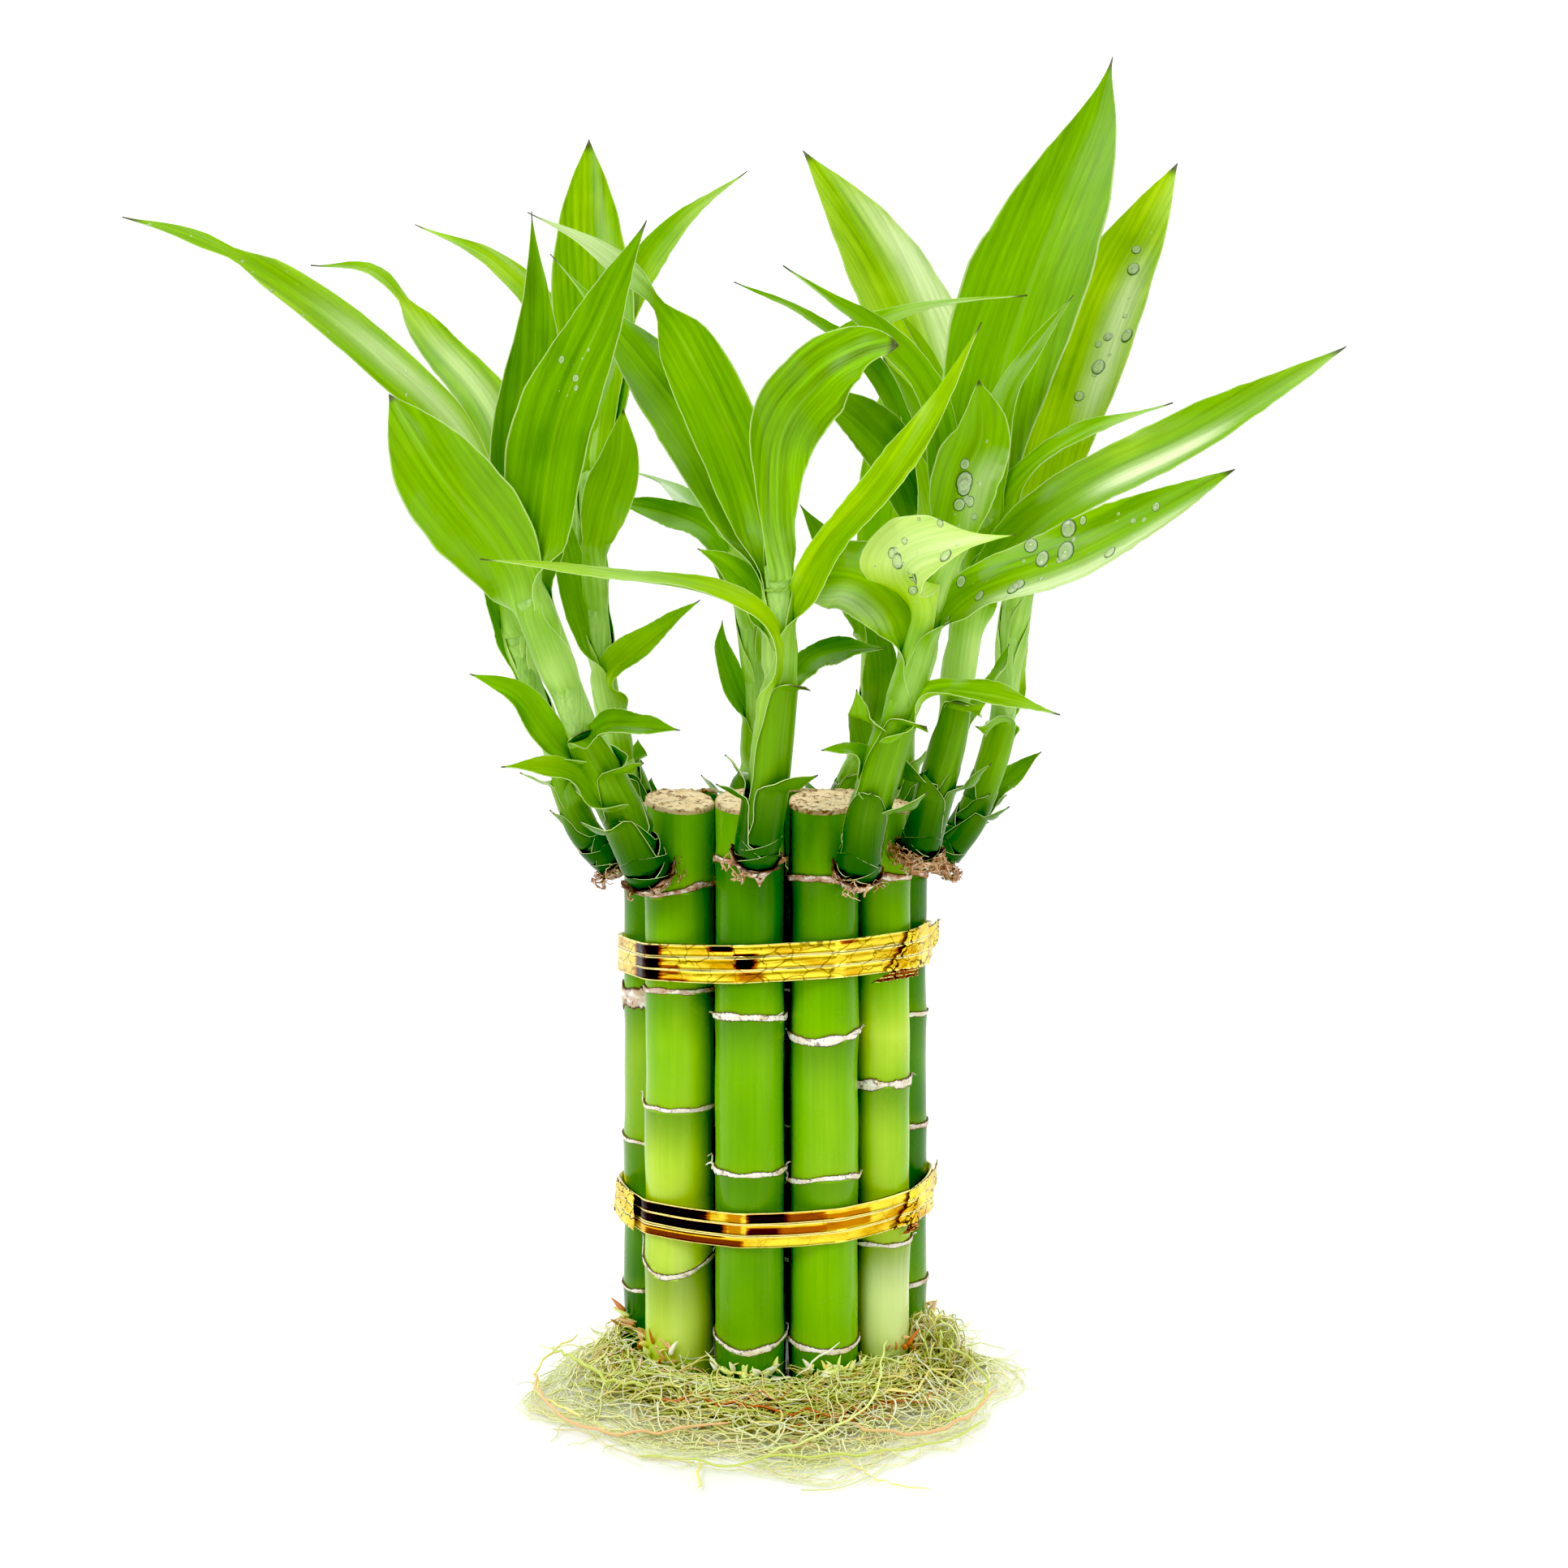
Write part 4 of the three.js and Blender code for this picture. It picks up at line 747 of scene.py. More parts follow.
shoots = [
    {"foot": 4.8, "top": 3,
     "stem": [(-43, -3, 132), (-52, -5, 143), (-59, -11, 165), (-66, -19, 187), (-69, -23, 208)],
     "blades": [
         leaf(11, (-67, -24, 204), (-78, -28, 239), (-99, -32, 261), (-125, -36, 280), (-144, -38, 289),
              (-160, -40, 293), widest=0.5, face=(-0.2, -1, 0), twist=(0, 30), tone=0.25,
              drops=(26, 0.5, 0, 0.3, 0.45, 0.6), band=(0.55, 0.3, 1, 0.15, 0.45, 0.02, 0.7),
              waist=(0.8, 0.05, 0.55)),
         leaf(16, (-67, -20, 204), (-74, -8, 248), (-94, 2, 275), (-111, 8, 295), (-131, 16, 300),
              widest=0.38, face=(0.4, -1, 0), twist=(0, 30), tone=0.2,
              band=(0.5, 1, 0.5, 0.15, 0.4, 0.05, 0.75), waist=(0.74, 0.05, 0.6)),
         leaf(8, (-63, -15, 178), (-69, -20, 192), (-72, -25, 201), (-73, -29, 211), face=(0.6, -1, 0.2)),
         leaf(16, (-66, -20, 201), (-76, -6, 222), (-88, 12, 234), (-100, 30, 240))],
     "scales": [
         leaf(7, (-53, -6, 144), (-58, -7, 150), (-62, -8, 154), (-68, -8, 157)),
         leaf(9, (-50, -7, 140), (-52, -11, 147), (-54, -13, 151), (-54, -14, 155)),
         leaf(7, (-48, -3, 137), (-53, -2, 139), (-57, -2, 143), (-61, -2, 147))]},
    {"foot": 6, "top": 4.1, "footScales": 3,
     "stem": [(-31, -31, 130), (-36, -37, 143), (-44, -42, 160), (-51, -48, 179), (-58, -53, 199)],
     "blades": [
         leaf(23, (-57, -52, 193), (-65, -58, 209), (-77, -63, 225), (-89, -62, 244), widest=0.5, stalk=8,
              face=(0.2, -1, -0.1), tone=0),
         leaf(19, (-58, -50, 194), (-60, -48, 231), (-58, -45, 263), (-59, -44, 293), widest=0.34,
              face=(0.5, -1, 0), tone=-0.2),
         leaf(20, (-57, -54, 196), (-51, -60, 235), (-39, -64, 262), (-29, -68, 282), widest=0.42,
              face=(-0.2, -1, 0.1), tone=-0.2, drops=(9, 0.6, 0, 0.05, 0.2, 0.9)),
         leaf(9, (-47, -47, 162), (-40, -57, 167), (-31, -66, 167), (-21, -75, 166), face=(0.1, -0.8, 0.5),
              tone=-0.3),
         leaf(8, (-49, -44, 158), (-56, -46, 168), (-62, -50, 176), (-72, -54, 180), face=(0.3, -1, 0.2)),
         leaf(7, (-41, -42, 146), (-47, -47, 155), (-55, -52, 158), (-64, -57, 158), face=(0.3, -0.8, 0.6)),
         leaf(15, (-36, -38, 143), (-38, -46, 151), (-42, -50, 159), (-45, -53, 166), stalk=13,
              face=(0, -1, 0.2), tone=0.05, hug=0.86, blunt=0.3, wrap=118, sheath=4)],
     "scales": [
         leaf(9, (-32, -37, 134), (-37, -43, 140), (-42, -46, 142), (-47, -48, 145)),
         leaf(6, (-38, -43, 147), (-37, -48, 154), (-34, -51, 158), (-31, -53, 159)),
         leaf(9, (-37, -38, 150), (-37, -40, 157), (-39, -41, 162), (-41, -42, 164))]},
    {"foot": 5.4, "top": 3.2, "footScales": 0,
     "stem": [(-5, -45, 135), (-3, -50, 146), (-1, -55, 160), (1, -60, 180), (1, -64, 198), (0.5, -65, 205)],
     "blades": [
         leaf(16, (0, -63, 200), (-7, -60, 226), (-17, -58, 249), (-28, -57, 267), (-42, -59, 279),
              (-57, -62, 286), widest=0.4, slim=2.5, stalk=7, face=(-0.5, -1, 0.1), twist=(0, 30), tone=0,
              waist=(0.67, 0.07, 0.75), band=(0.55, 1, 0, 0, 3, 0.64, 1.2)),
         leaf(22, (-1, -61, 198), (-15, -52, 231), (-34, -42, 259), (-56, -34, 286), widest=0.4, slim=3.8,
              face=(0.3, -1, 0.3), tone=-0.15),
         leaf(18, (1, -65, 201), (1, -70, 230), (10, -75, 243), (19, -79, 248), (27, -84, 249), widest=0.66,
              stalk=9, face=(0.3, -1, 0.4), tone=-0.1, veins=1),
         leaf(10, (2, -62, 185), (11, -70, 205), (25, -76, 221), (37, -80, 239), (45, -84, 254),
              face=(-0.4, -1, 0.5), tone=0.3),
         leaf(7, (2, -58, 169), (0, -69, 188), (-12, -76, 196), (-36, -80, 200), (-64, -82, 203), stalk=7,
              face=(0.2, -0.8, 1), tone=0.35),
         leaf(7, (1, -63, 205), (3, -57, 236), (14, -55, 256), (32, -54, 266), (60, -52, 270),
              face=(0.3, -0.8, 0.8)),
         leaf(9, (4, -57, 175), (9, -52, 183), (17, -48, 186), (27, -44, 187), face=(-0.4, -1, 0.6),
              tone=-0.3),
         leaf(9, (0, -63, 187), (-5, -61, 198), (-10, -60, 204), (-18, -58, 209), face=(0.4, -1, 0.2)),
         leaf(13, (-2, -51, 147), (1, -61, 158), (4, -65, 167), (8, -68, 175), stalk=11, face=(-0.2, -1, 0.2),
              tone=-0.1, hug=0.86, blunt=0.28, wrap=112, sheath=4)],
     "scales": [
         leaf(12, (-1, -50, 141), (1, -56, 148), (4, -60, 153), (10, -63, 156), wrap=96, tone=-0.25),
         leaf(8, (-5, -49, 141), (-7, -52, 147), (-9, -52, 151), (-14, -51, 154), wrap=84, tone=-0.3),
         leaf(7, (-6, -47, 148), (-8, -49, 154), (-10, -48, 159), (-12, -47, 161), wrap=70, tone=0.1)]},
    {"foot": 5.3, "top": 3.4, "footScales": 1,
     "stem": [(20, -40, 131), (22, -46, 145), (27, -52, 163), (33, -58, 182), (38, -62, 200), (41, -64, 212)],
     "blades": [
         leaf(19, (30, -61, 191.5), (28.2, -68.5, 201), (31.5, -75, 205.2), (41, -80, 207), (52.5, -84, 208),
              widest=0.36, slim=3, stalk=3, open=0.36, waist=(0.82, 0.16, 0.35), face=(0, -1, 0.2), tone=0.85,
              band=(0.55, 1, 0, 0, 1.2, 0.12, 1.1), drops=(26, 0.42, -0.1, 0.16, 0.45, 1.5)),
         leaf(22, (31, -57, 182), (28, -57, 194), (18, -53, 202), (4, -47, 202), widest=0.55,
              face=(0.1, -1, 0.4), tone=0.2, band=(0.4, 0.2, -1, 0.6, 0.35, 0.1, 0.9)),
         leaf(16, (34, -61, 184), (45, -67, 197), (69, -74, 206), (101, -80, 223), widest=0.5,
              face=(0, -0.9, 0.6), tone=0.1, drops=(34, 0.45, -0.1, 0.2, 0.45, 1.9),
              band=(0.75, 0.4, -1, 0.75, 0.3, 0.1, 0.97)),
         leaf(16, (40, -64, 205), (43, -67, 222), (47, -69, 233), (46, -71, 245), widest=0.5,
              face=(0, -1, 0.2), tone=0, drops=(14, 0.4, 0.2, 0.12, 0.3, 2),
              band=(0.35, 1, 0, 0.5, 0.35, 0.1, 0.7)),
         leaf(9, (40, -62, 206), (37, -62, 240), (24, -65, 257), (13, -68, 264), (2, -70, 271),
              face=(0.3, -1, 0.4)),
         leaf(10, (28, -53, 162), (35, -62, 174), (46, -74, 174), (62, -84, 169), face=(0, -0.7, 0.8)),
         leaf(7, (24, -48, 150), (22, -50, 158), (18, -52, 162), (11, -54, 162), face=(0, -0.8, 0.8)),
         leaf(14, (25, -48, 146), (28, -58, 154), (31, -62, 161), (35, -64, 167), stalk=12, face=(0, -1, 0.2),
              tone=-0.15, hug=0.82, blunt=0.3, wrap=118, sheath=4),
         leaf(8, (22, -52, 157), (20, -56, 165), (20, -58, 171), (19, -60, 176), stalk=8, face=(-0.5, -1, 0),
              tone=0, hug=0.5, wrap=80)],
     "scales": [
         leaf(13, (21, -47, 135), (21, -54, 142), (22, -56, 147), (23, -57, 152), wrap=88, tone=-0.3,
              hug=0.8),
         leaf(7, (26, -45, 138), (30, -50, 145), (33, -52, 149), (36, -54, 152), wrap=70, tone=0)]},
    {"foot": 5, "top": 3.6,
     "stem": [(36, -27, 136), (39, -32, 149), (43, -37, 166), (46, -39, 188), (50, -40, 209), (52, -41, 220)],
     "blades": [
         leaf(33, (52, -40, 211), (55, -30, 248), (65, -20, 281), (77, -10, 310), (87, 0, 334), (93, 8, 355),
              widest=0.46, slim=2.7, face=(-0.3, -1, 0.2), tone=-0.08),
         leaf(8, (52, -41, 213), (55, -44, 244), (62, -45, 258), (72, -46, 272), face=(-0.6, -1, 0)),
         leaf(9, (50, -41, 205), (58, -45, 226), (74, -48, 238), (95, -50, 245), face=(0, -0.7, 1)),
         leaf(17, (47, -42, 191), (55, -50, 209), (73, -55, 223), (100, -59, 236), (132, -62, 255),
              widest=0.5, face=(-0.1, -0.9, 0.8), tone=0.1, band=(1, 0.4, -1, 0.3, 0.26, 0.36, 0.76)),
         leaf(7, (45, -36, 165), (52, -31, 177), (57, -26, 183), (60, -22, 190)),
         leaf(11, (41, -34, 150), (42, -43, 161), (45, -45, 168), (51, -47, 174), stalk=8, face=(0, -1, 0.3)),
         leaf(13, (39, -33, 148), (40, -42, 157), (42, -46, 165), (44, -49, 173), stalk=11, face=(0, -1, 0.2),
              tone=-0.2, hug=0.84, blunt=0.3, wrap=112, sheath=4)],
     "scales": [
         leaf(9, (37, -30, 140), (38, -37, 147), (37, -40, 153), (36, -41, 157)),
         leaf(8, (40, -30, 141), (47, -35, 150), (50, -38, 156), (53, -40, 159)),
         leaf(8, (38, -32, 144), (34, -38, 151), (33, -41, 156), (31, -42, 161), wrap=70, tone=-0.3)]},
    {"foot": 4.8, "top": 3.7,
     "stem": [(43.5, 0, 133), (53, 0, 146), (60, -2, 166), (63, -4, 190), (65, -5, 206), (68, -6, 220)],
     "blades": [
         leaf(24, (67, -6, 210), (74, -2, 240), (90, 9, 285), (104, 17, 312), (115, 24, 332), widest=0.5,
              face=(-0.2, -1, 0.1), tone=0.5, drops=(26, 0.55, 0.4, 0.11, 0.22, 1.9),
              band=(0.9, 1, -0.5, 0.5, 0.3, 0.25, 0.8)),
         leaf(6, (61, -1, 167), (65, 4, 178), (68, 8, 187), (70, 12, 198), face=(1, -0.6, 0.2)),
         leaf(10, (57, -2, 150), (60, -8, 158), (58, -13, 166), (52, -17, 169), stalk=7, face=(0.2, -1, 0.2)),
         leaf(8, (55, 2, 144), (59, 6, 151), (66, 9, 157), (74, 12, 163), face=(-0.4, -1, 0.5)),
         leaf(9, (67, -7, 212), (75, -12, 223), (84, -18, 229), (98, -24, 233), face=(0, -0.8, 0.9)),
         leaf(18, (65, -4, 203), (77, 20, 240), (87, 42, 262), (96, 62, 276))],
     "scales": [
         leaf(8, (51, 1, 138), (55, 5, 144), (60, 8, 148), (64, 10, 151)),
         leaf(7, (50, 1, 136), (54, -4, 141), (58, -7, 145), (62, -9, 148))]},
    {"foot": 5, "top": 3.4,
     "stem": [(36, 28, 133), (37, 33, 155), (38, 36, 180), (43, 36, 206), (47, 33, 238)],
     "blades": [
         leaf(30, (47, 33, 229), (45, 39, 271), (32, 47, 309), (8, 54, 348), widest=0.48, face=(0.3, -1, 0.1),
              tone=0.4, band=(0.85, 1, 0.3, 0.68, 0.34, 0.1, 0.95)),
         leaf(8, (46, 33, 229), (31, 30, 270), (9, 24, 288), (-12, 18, 296), face=(0.4, -1, 0.5)),
         leaf(9, (47, 32, 229), (47, 22, 258), (42, 14, 274), (33, 8, 286), face=(0.2, -1, 0.4)),
         leaf(18, (45, 34, 220), (36, 24, 242), (25, 16, 254), (11, 8, 263), widest=0.55, face=(0.2, -1, 0.2),
              tone=-0.3),
         leaf(10, (46, 32, 227), (42, 15, 252), (36, 6, 261), (29, -2, 269), face=(0.2, -1, 0.3)),
         leaf(12, (44, 35, 208), (45, 24, 225), (42, 16, 237), (38, 8, 248), face=(0.4, -1, 0)),
         leaf(20, (44, 36, 203), (58, 52, 236), (72, 72, 262), (86, 90, 278))]},
    {"foot": 5, "top": 3.2,
     "stem": [(11, 44, 132), (19, 49, 148), (26, 53, 164), (29, 55, 182), (30, 54, 210)],
     "blades": [
         leaf(8, (27, 53, 158), (26, 48, 167), (24, 45, 174), (25, 43, 181)),
         leaf(12, (29, 54, 169), (31, 47, 182), (30, 41, 195), (25, 37, 207), face=(0.2, -1, 0.1), tone=-0.3),
         leaf(14, (30, 54, 195), (24, 48, 210), (15, 44, 225), (7, 40, 237), face=(0.3, -1, 0.3)),
         leaf(18, (30, 54, 190), (40, 72, 218), (52, 92, 236), (64, 110, 244)),
         leaf(18, (30, 54, 200), (34, 66, 238), (36, 80, 270), (40, 96, 296), face=(0, -1, 0.3))]},
    {"foot": 5, "top": 3.2,
     "stem": [(-17, 42, 132), (-11, 47, 149), (-7, 50, 164), (-7, 52, 190), (-12, 49, 226)],
     "blades": [
         leaf(12, (-12, 50, 216), (-19, 53, 229), (-32, 59, 237), (-54, 64, 243), face=(0.3, -1, 0.4)),
         leaf(9, (-12, 49, 220), (-18, 45, 240), (-26, 43, 256), (-37, 41, 274), face=(0.6, -1, 0)),
         leaf(9, (-7, 51, 171), (-13, 54, 184), (-17, 58, 195), (-17, 62, 205), face=(0.6, -1, 0)),
         leaf(18, (-8, 51, 203), (-20, 68, 232), (-34, 86, 250), (-50, 102, 260)),
         leaf(16, (-9, 51, 210), (-6, 70, 232), (-2, 90, 244), (4, 108, 249))]},
    {"foot": 5, "top": 3.4,
     "stem": [(-37, 24, 132), (-40, 28, 149), (-46, 29, 165), (-50, 26, 190), (-53, 22, 220), (-53, 20, 243)],
     "blades": [
         leaf(24, (-53, 21, 232), (-52, 25, 274), (-54, 29, 310), (-55, 34, 343), widest=0.52,
              face=(0.1, -1, 0.1), tone=0.12),
         leaf(14, (-53, 20, 235), (-47, 28, 283), (-31, 40, 318), (-9, 50, 340), face=(-0.3, -1, 0.4),
              tone=0.3),
         leaf(11, (-53, 21, 234), (-63, 26, 281), (-81, 30, 305), (-106, 34, 318), face=(0.3, -1, 0.4),
              tone=0.3),
         leaf(14, (-52, 21, 217), (-48, 11, 230), (-43, 3, 242), (-41, -3, 255), widest=0.5, stalk=3,
              face=(0.2, -1, 0.1), tone=0.1),
         leaf(10, (-50, 27, 184), (-55, 22, 201), (-60, 17, 222), (-64, 11, 243), face=(0.4, -1, 0)),
         leaf(10, (-48, 27, 174), (-48, 22, 185), (-37, 16, 194), (-21, 9, 205), face=(-0.4, -1, 0.4)),
         leaf(18, (-51, 23, 203), (-62, 40, 232), (-74, 60, 250), (-88, 78, 258))]},
]


def stemRadius(shoot, shares):  # the foot is thinner inside, because most sheaths lie over it
    foot = shoot["foot"] - shootForm["coreInset"]
    return foot + (shoot["top"] - foot) * smooth(shares, 0.15, 0.75)


def footShape(distance):  # the foot is round below, like a bulb
    return 0.66 + 0.34 * np.sqrt(smooth(distance, -1.5, 4.2))


def halfWidth(shares, blade):
    widest, slim = blade["widest"], blade["slim"]
    rise = slim * widest
    fall = slim - rise
    top = widest**rise * (1 - widest)**fall
    body = blade["width"] / 2 * shares**rise * (1 - shares)**fall / top
    place, reach, depth = blade["waist"]
    body = body * (1 - depth * np.exp(-(((shares - place) / reach) ** 2)))
    return np.maximum(body + blade["stalk"] / 2 * (1 - shares)**6, 0.06)


def turned(vectors, axes, angles):  # each vector turned about its axis
    cosine, sine = np.cos(angles)[:, None], np.sin(angles)[:, None]
    dot = np.sum(vectors * axes, 1)[:, None]
    return vectors * cosine + np.cross(axes, vectors) * sine + axes * dot * (1 - cosine)


def squareTo(vectors, ahead):  # what is left of vectors square to a heading
    return vectors - ahead * np.sum(ahead * vectors, -1)[..., None]


def bladeFrame(blade, shares):  # centre line, heading and upward side of a blade
    centre, ahead = onPath(newPath(blade["points"]), shares)
    if "face" in blade:
        face = np.array(blade["face"], float)
    else:
        chord = np.array(blade["points"][-1], float) - np.array(blade["points"][0], float)
        chord[2] = 0
        face = np.array([0, 0, 1]) - unit(chord)
    twist = np.radians(np.interp(shares, [0, 1], blade.get("twist", (0, 0))))
    return centre, ahead, turned(unit(squareTo(face, ahead)), ahead, twist)


# A leaf is one sheet: it wraps the stem as a sheath, keeps to it for a while and opens into the blade
def leafPart(blade, shoot, stem, stand, seed, scale=False):
    random = np.random.default_rng(seed)
    path = newPath(blade["points"])
    length = path["length"]
    columns = shootForm["narrowColumns" if scale or blade["width"] < 9 else "columns"]
    near = np.linspace(0, 1, 200)
    start = near[np.argmin(np.linalg.norm(onPath(stem, near)[0] - path["dense"][0], axis=1))] * stem["length"]
    sheath = blade.get("sheath", 2.5 if scale else np.clip(length * 0.34, 9, 22))
    sheath = max(min(sheath, start - shootForm["bulb"]), 1.5)
    lower = np.linspace(-1, 0, 5 if scale else shootForm["sheathRows"], endpoint=False)
    along = np.concatenate([lower, np.linspace(0, 1, shootForm["scaleRows" if scale else "bladeRows"])])
    distance = np.where(along < 0, along * sheath, along * length)
    share = np.maximum(along, 0)
    hugging = scale or (blade["stalk"] > 6.5 and length < 36)
    hug = blade.get("hug", (0.5 if scale else 0.72) if hugging else 0) * length
    blend = smooth(distance, hug, hug + np.clip(length * blade["open"], 3, 15))
    centre, ahead, facing = bladeFrame(blade, share)
    # the sheath lies round the stem
    stemPlace = (start + distance) / stem["length"]
    axis, stemAhead = onPath(stem, stemPlace)
    radius = stemRadius(shoot, np.clip(stemPlace, 0, 1)) - 0.5 + (0.5 + stand) * smooth(along, -1, -0.5)
    radius = radius * footShape(stemPlace * stem["length"])
    leave = onPath(path, min(max(0.28, hug / length + 0.1), 0.8) if hugging else min(0.28, 14 / length))[0][0]
    leaving = leave - onPath(stem, start / stem["length"])[0][0]
    outward = unit(leaving - stemAhead * (stemAhead @ leaving)[:, None])
    heading = unit(stemAhead * (1 - blend[:, None]) + ahead * blend[:, None])
    middle = (axis + outward * radius[:, None]) * (1 - blend[:, None]) + centre * blend[:, None]
    inward = unit(squareTo(-outward, heading))
    target = unit(squareTo(facing, heading))
    opening = (blend > 0.05) & (share < 0.6)
    if not opening.any():
        opening = share > 0.5
    flip = -1 if np.mean(np.sum(inward * target, 1)[opening]) < -0.25 else 1  # the inner side faces the stem
    target = target * flip
    angle = np.arctan2(np.sum(heading * np.cross(inward, target), 1), np.sum(inward * target, 1))
    upward = turned(inward, heading, np.unwrap(angle) * blend)
    sideways = np.cross(heading, upward)
    # its half width, and how far it bends round
    loosen = 0.25 if hugging else 0.5
    wrap = np.radians(blade.get("wrap", 100 if scale else 150)) * (1 - loosen * smooth(along, -0.7, 0.05))
    cup = shootForm["cup"] * (0.6 if scale else 1) * flip
    half = radius * wrap * (1 - blend) + halfWidth(share, blade) * 1.03 * blend
    if hugging:
        taper = np.maximum(1 - share, 0) ** blade.get("blunt", 0.75 if scale else 0.45)
        half = np.minimum(half, np.maximum(radius * wrap * taper, halfWidth(share, blade)))
    half = half * (1 + 0.03 * wander(along * 9, seed) * blend)
    bend = half / radius * (1 - blend) + 2 * cup * blend
    bend = np.where(np.abs(bend) < 0.02, 0.02, bend)
    across = np.sin(np.linspace(-math.pi / 2, math.pi / 2, columns))[None, :]
    arc = (half / bend)[:, None]
    swing = across * bend[:, None]
    # waves, fine ripples and the midrib
    rise = arc * (1 - np.cos(swing))
    swell = 4 * share * (1 - share) * shootForm["wave"] * (0.3 if scale else 1) * flip
    onePhase, otherPhase = np.sin(share * 11 + length)[:, None], np.sin(share * 13 + length * 2)[:, None]
    rise = rise + (swell * blend)[:, None] * np.where(across * flip > 0, onePhase, otherPhase) * across**2
    fine = shootForm["ripple"] * (blend * np.sqrt(np.maximum(half, 0) / 8))[:, None]
    rise = rise + fine * across**2 * wander(along * 26 + seed, seed + 3)[:, None] * np.sign(across + 0.01)
    midrib = shootForm["midribDepth"] * (blend * smooth(half, 1, 4))[:, None]
    rise = (rise - midrib * np.exp(-(across / 0.14)**2))[..., None]
    grid = middle[:, None] + upward[:, None] * rise + sideways[:, None] * (arc * np.sin(swing))[..., None]
    # its values for the material
    tone = blade.get("tone", random.uniform(-0.25, 0.25))
    thick = shootForm["thickness"] * (1 - 0.5 * np.abs(across)**3) * np.ones((len(along), 1))
    # a pale band of painted highlight, where light glances off the blade
    strength, sideX, sideZ, middleAt, spread, low, high = blade["band"]
    turn = np.sign(np.mean(sideways @ np.array([sideX, 0, sideZ]))) or 1
    band = strength * np.exp(-((across * turn - middleAt) / spread) ** 2)
    fade = (high - low) * 0.35
    window = smooth(along, low, low + fade) * (1 - smooth(along, high - fade, high))
    part = thickSheet(grid, thick, leafAcross=across, leafAlong=along[:, None], leafTone=tone,
                      leafPlace=np.minimum(start + distance, start + 12)[:, None],
                      leafSeed=random.uniform(0, 1), leafSide=across * half[:, None],
                      leafReach=distance[:, None], leafBand=band * window[:, None],
                      leafVeins=blade["veins"], leafScale=1 if scale else 0.6 if hugging else 0)
    return part, [dewParts(grid, along, flip, turn, blade["drops"], seed)] if "drops" in blade else []


dewForm = {"smallest": 0.25, "height": 0.42, "sink": 0.1, "sides": 12, "rises": (0, 0.3, 0.6, 0.85, 0.97, 1)}
# A drop's glint and ring colours are painted light.
dewColours = {"water": (222, 248, 176), "glint": (250, 255, 238), "ring": (30, 88, 4)}


def dewParts(grid, along, flip, turn, drops, seed):  # flat round drops on a blade's outer side
    random = np.random.default_rng(seed + 5000)
    count, alongAt, acrossAt, alongSpread, acrossSpread, largest = drops
    normal = sheetNormal(grid) * flip
    columns = grid.shape[1]
    turns = fullTurn(dewForm["sides"])[:, None]
    rises = np.array(dewForm["rises"])
    parts = []
    for order in range(count):
        share = np.clip(random.normal(alongAt, alongSpread), 0.12, 0.94)
        across = np.clip(random.normal(acrossAt, acrossSpread), -0.8, 0.8) * turn
        row = int(np.argmin(np.abs(along - share)))
        column = int(round((math.asin(across) / math.pi + 0.5) * (columns - 1)))
        up = normal[row, column]
        side = unit(np.cross(up, [0.3, 0.2, 1]))
        other = np.cross(up, side)
        place = grid[row, column] + (side * random.uniform(-0.5, 0.5) + other * random.uniform(-0.5, 0.5))
        size = dewForm["smallest"] + (largest - dewForm["smallest"]) * (1 - order / count) ** 2.5
        ring = np.cos(turns) * side + np.sin(turns) * other * random.uniform(1, 1.5)
        lifts = [up * (0.2 - dewForm["sink"] + rise * size * dewForm["height"]) for rise in rises]
        reaches = [size * math.sqrt(max(1 - rise**2, 0.004)) for rise in rises]
        rings = np.array([place + lift + ring * reach for lift, reach in zip(lifts, reaches)])
        parts.append(closedTube(rings, dewRise=rises[:, None]))
    return joinParts(parts)


def dewMaterial():
    material, place = newMaterial("dewDrop")
    grain = addNoise(place, 260, 2)
    # painted light: pale glints over the drop, and a dark ring at its rim where a clear drop bends the light
    base = paint(linear(*dewColours["water"]), grain, dewColours["glint"])
    base = paint(base, addRange("dewRise", 0.35, 0.85, 0.95, 0), dewColours["ring"])
    clear = addRange("dewRise", 0.4, 0.97, 0.92, 0.3)
    rough = addRange(grain, 0.3, 0.7, 0.02, 0.07)
    return finishMaterial(material, base, rough, None, {"Alpha": clear, "Specular IOR Level": 0.7})


def backScales(shoot, cane, index):  # the same rule as on the solid
    random = np.random.default_rng(100 + index)
    stem = newPath(shoot["stem"])
    heading = math.atan2(*reversed(list(caneCentre(cane))))
    scales = []
    for count in range(3):
        centre = onPath(stem, 0.06 + count * 0.06)[0][0]
        turn = heading + math.radians((1 if count % 2 else -1) * random.uniform(50, 70))
        outward = np.array([math.cos(turn), math.sin(turn), 0])
        size = random.uniform(13, 18)
        steps = [(-2.4, -2), (0.2, size * 0.35), (1.6, size * 0.7), (5, size)]
        points = [tuple(centre + outward * (shoot["foot"] + out) + np.array([0, 0, up])) for out, up in steps]
        scales.append(leaf(random.uniform(8, 10), *points))
    return scales


def stemFrame(stem, share):  # the stem's place and heading there, and two ways square to it
    centre, ahead = (value[0] for value in onPath(stem, share))
    first = unit(np.cross(ahead, [0, 1, 0.2]))
    return centre, ahead, first, np.cross(ahead, first)


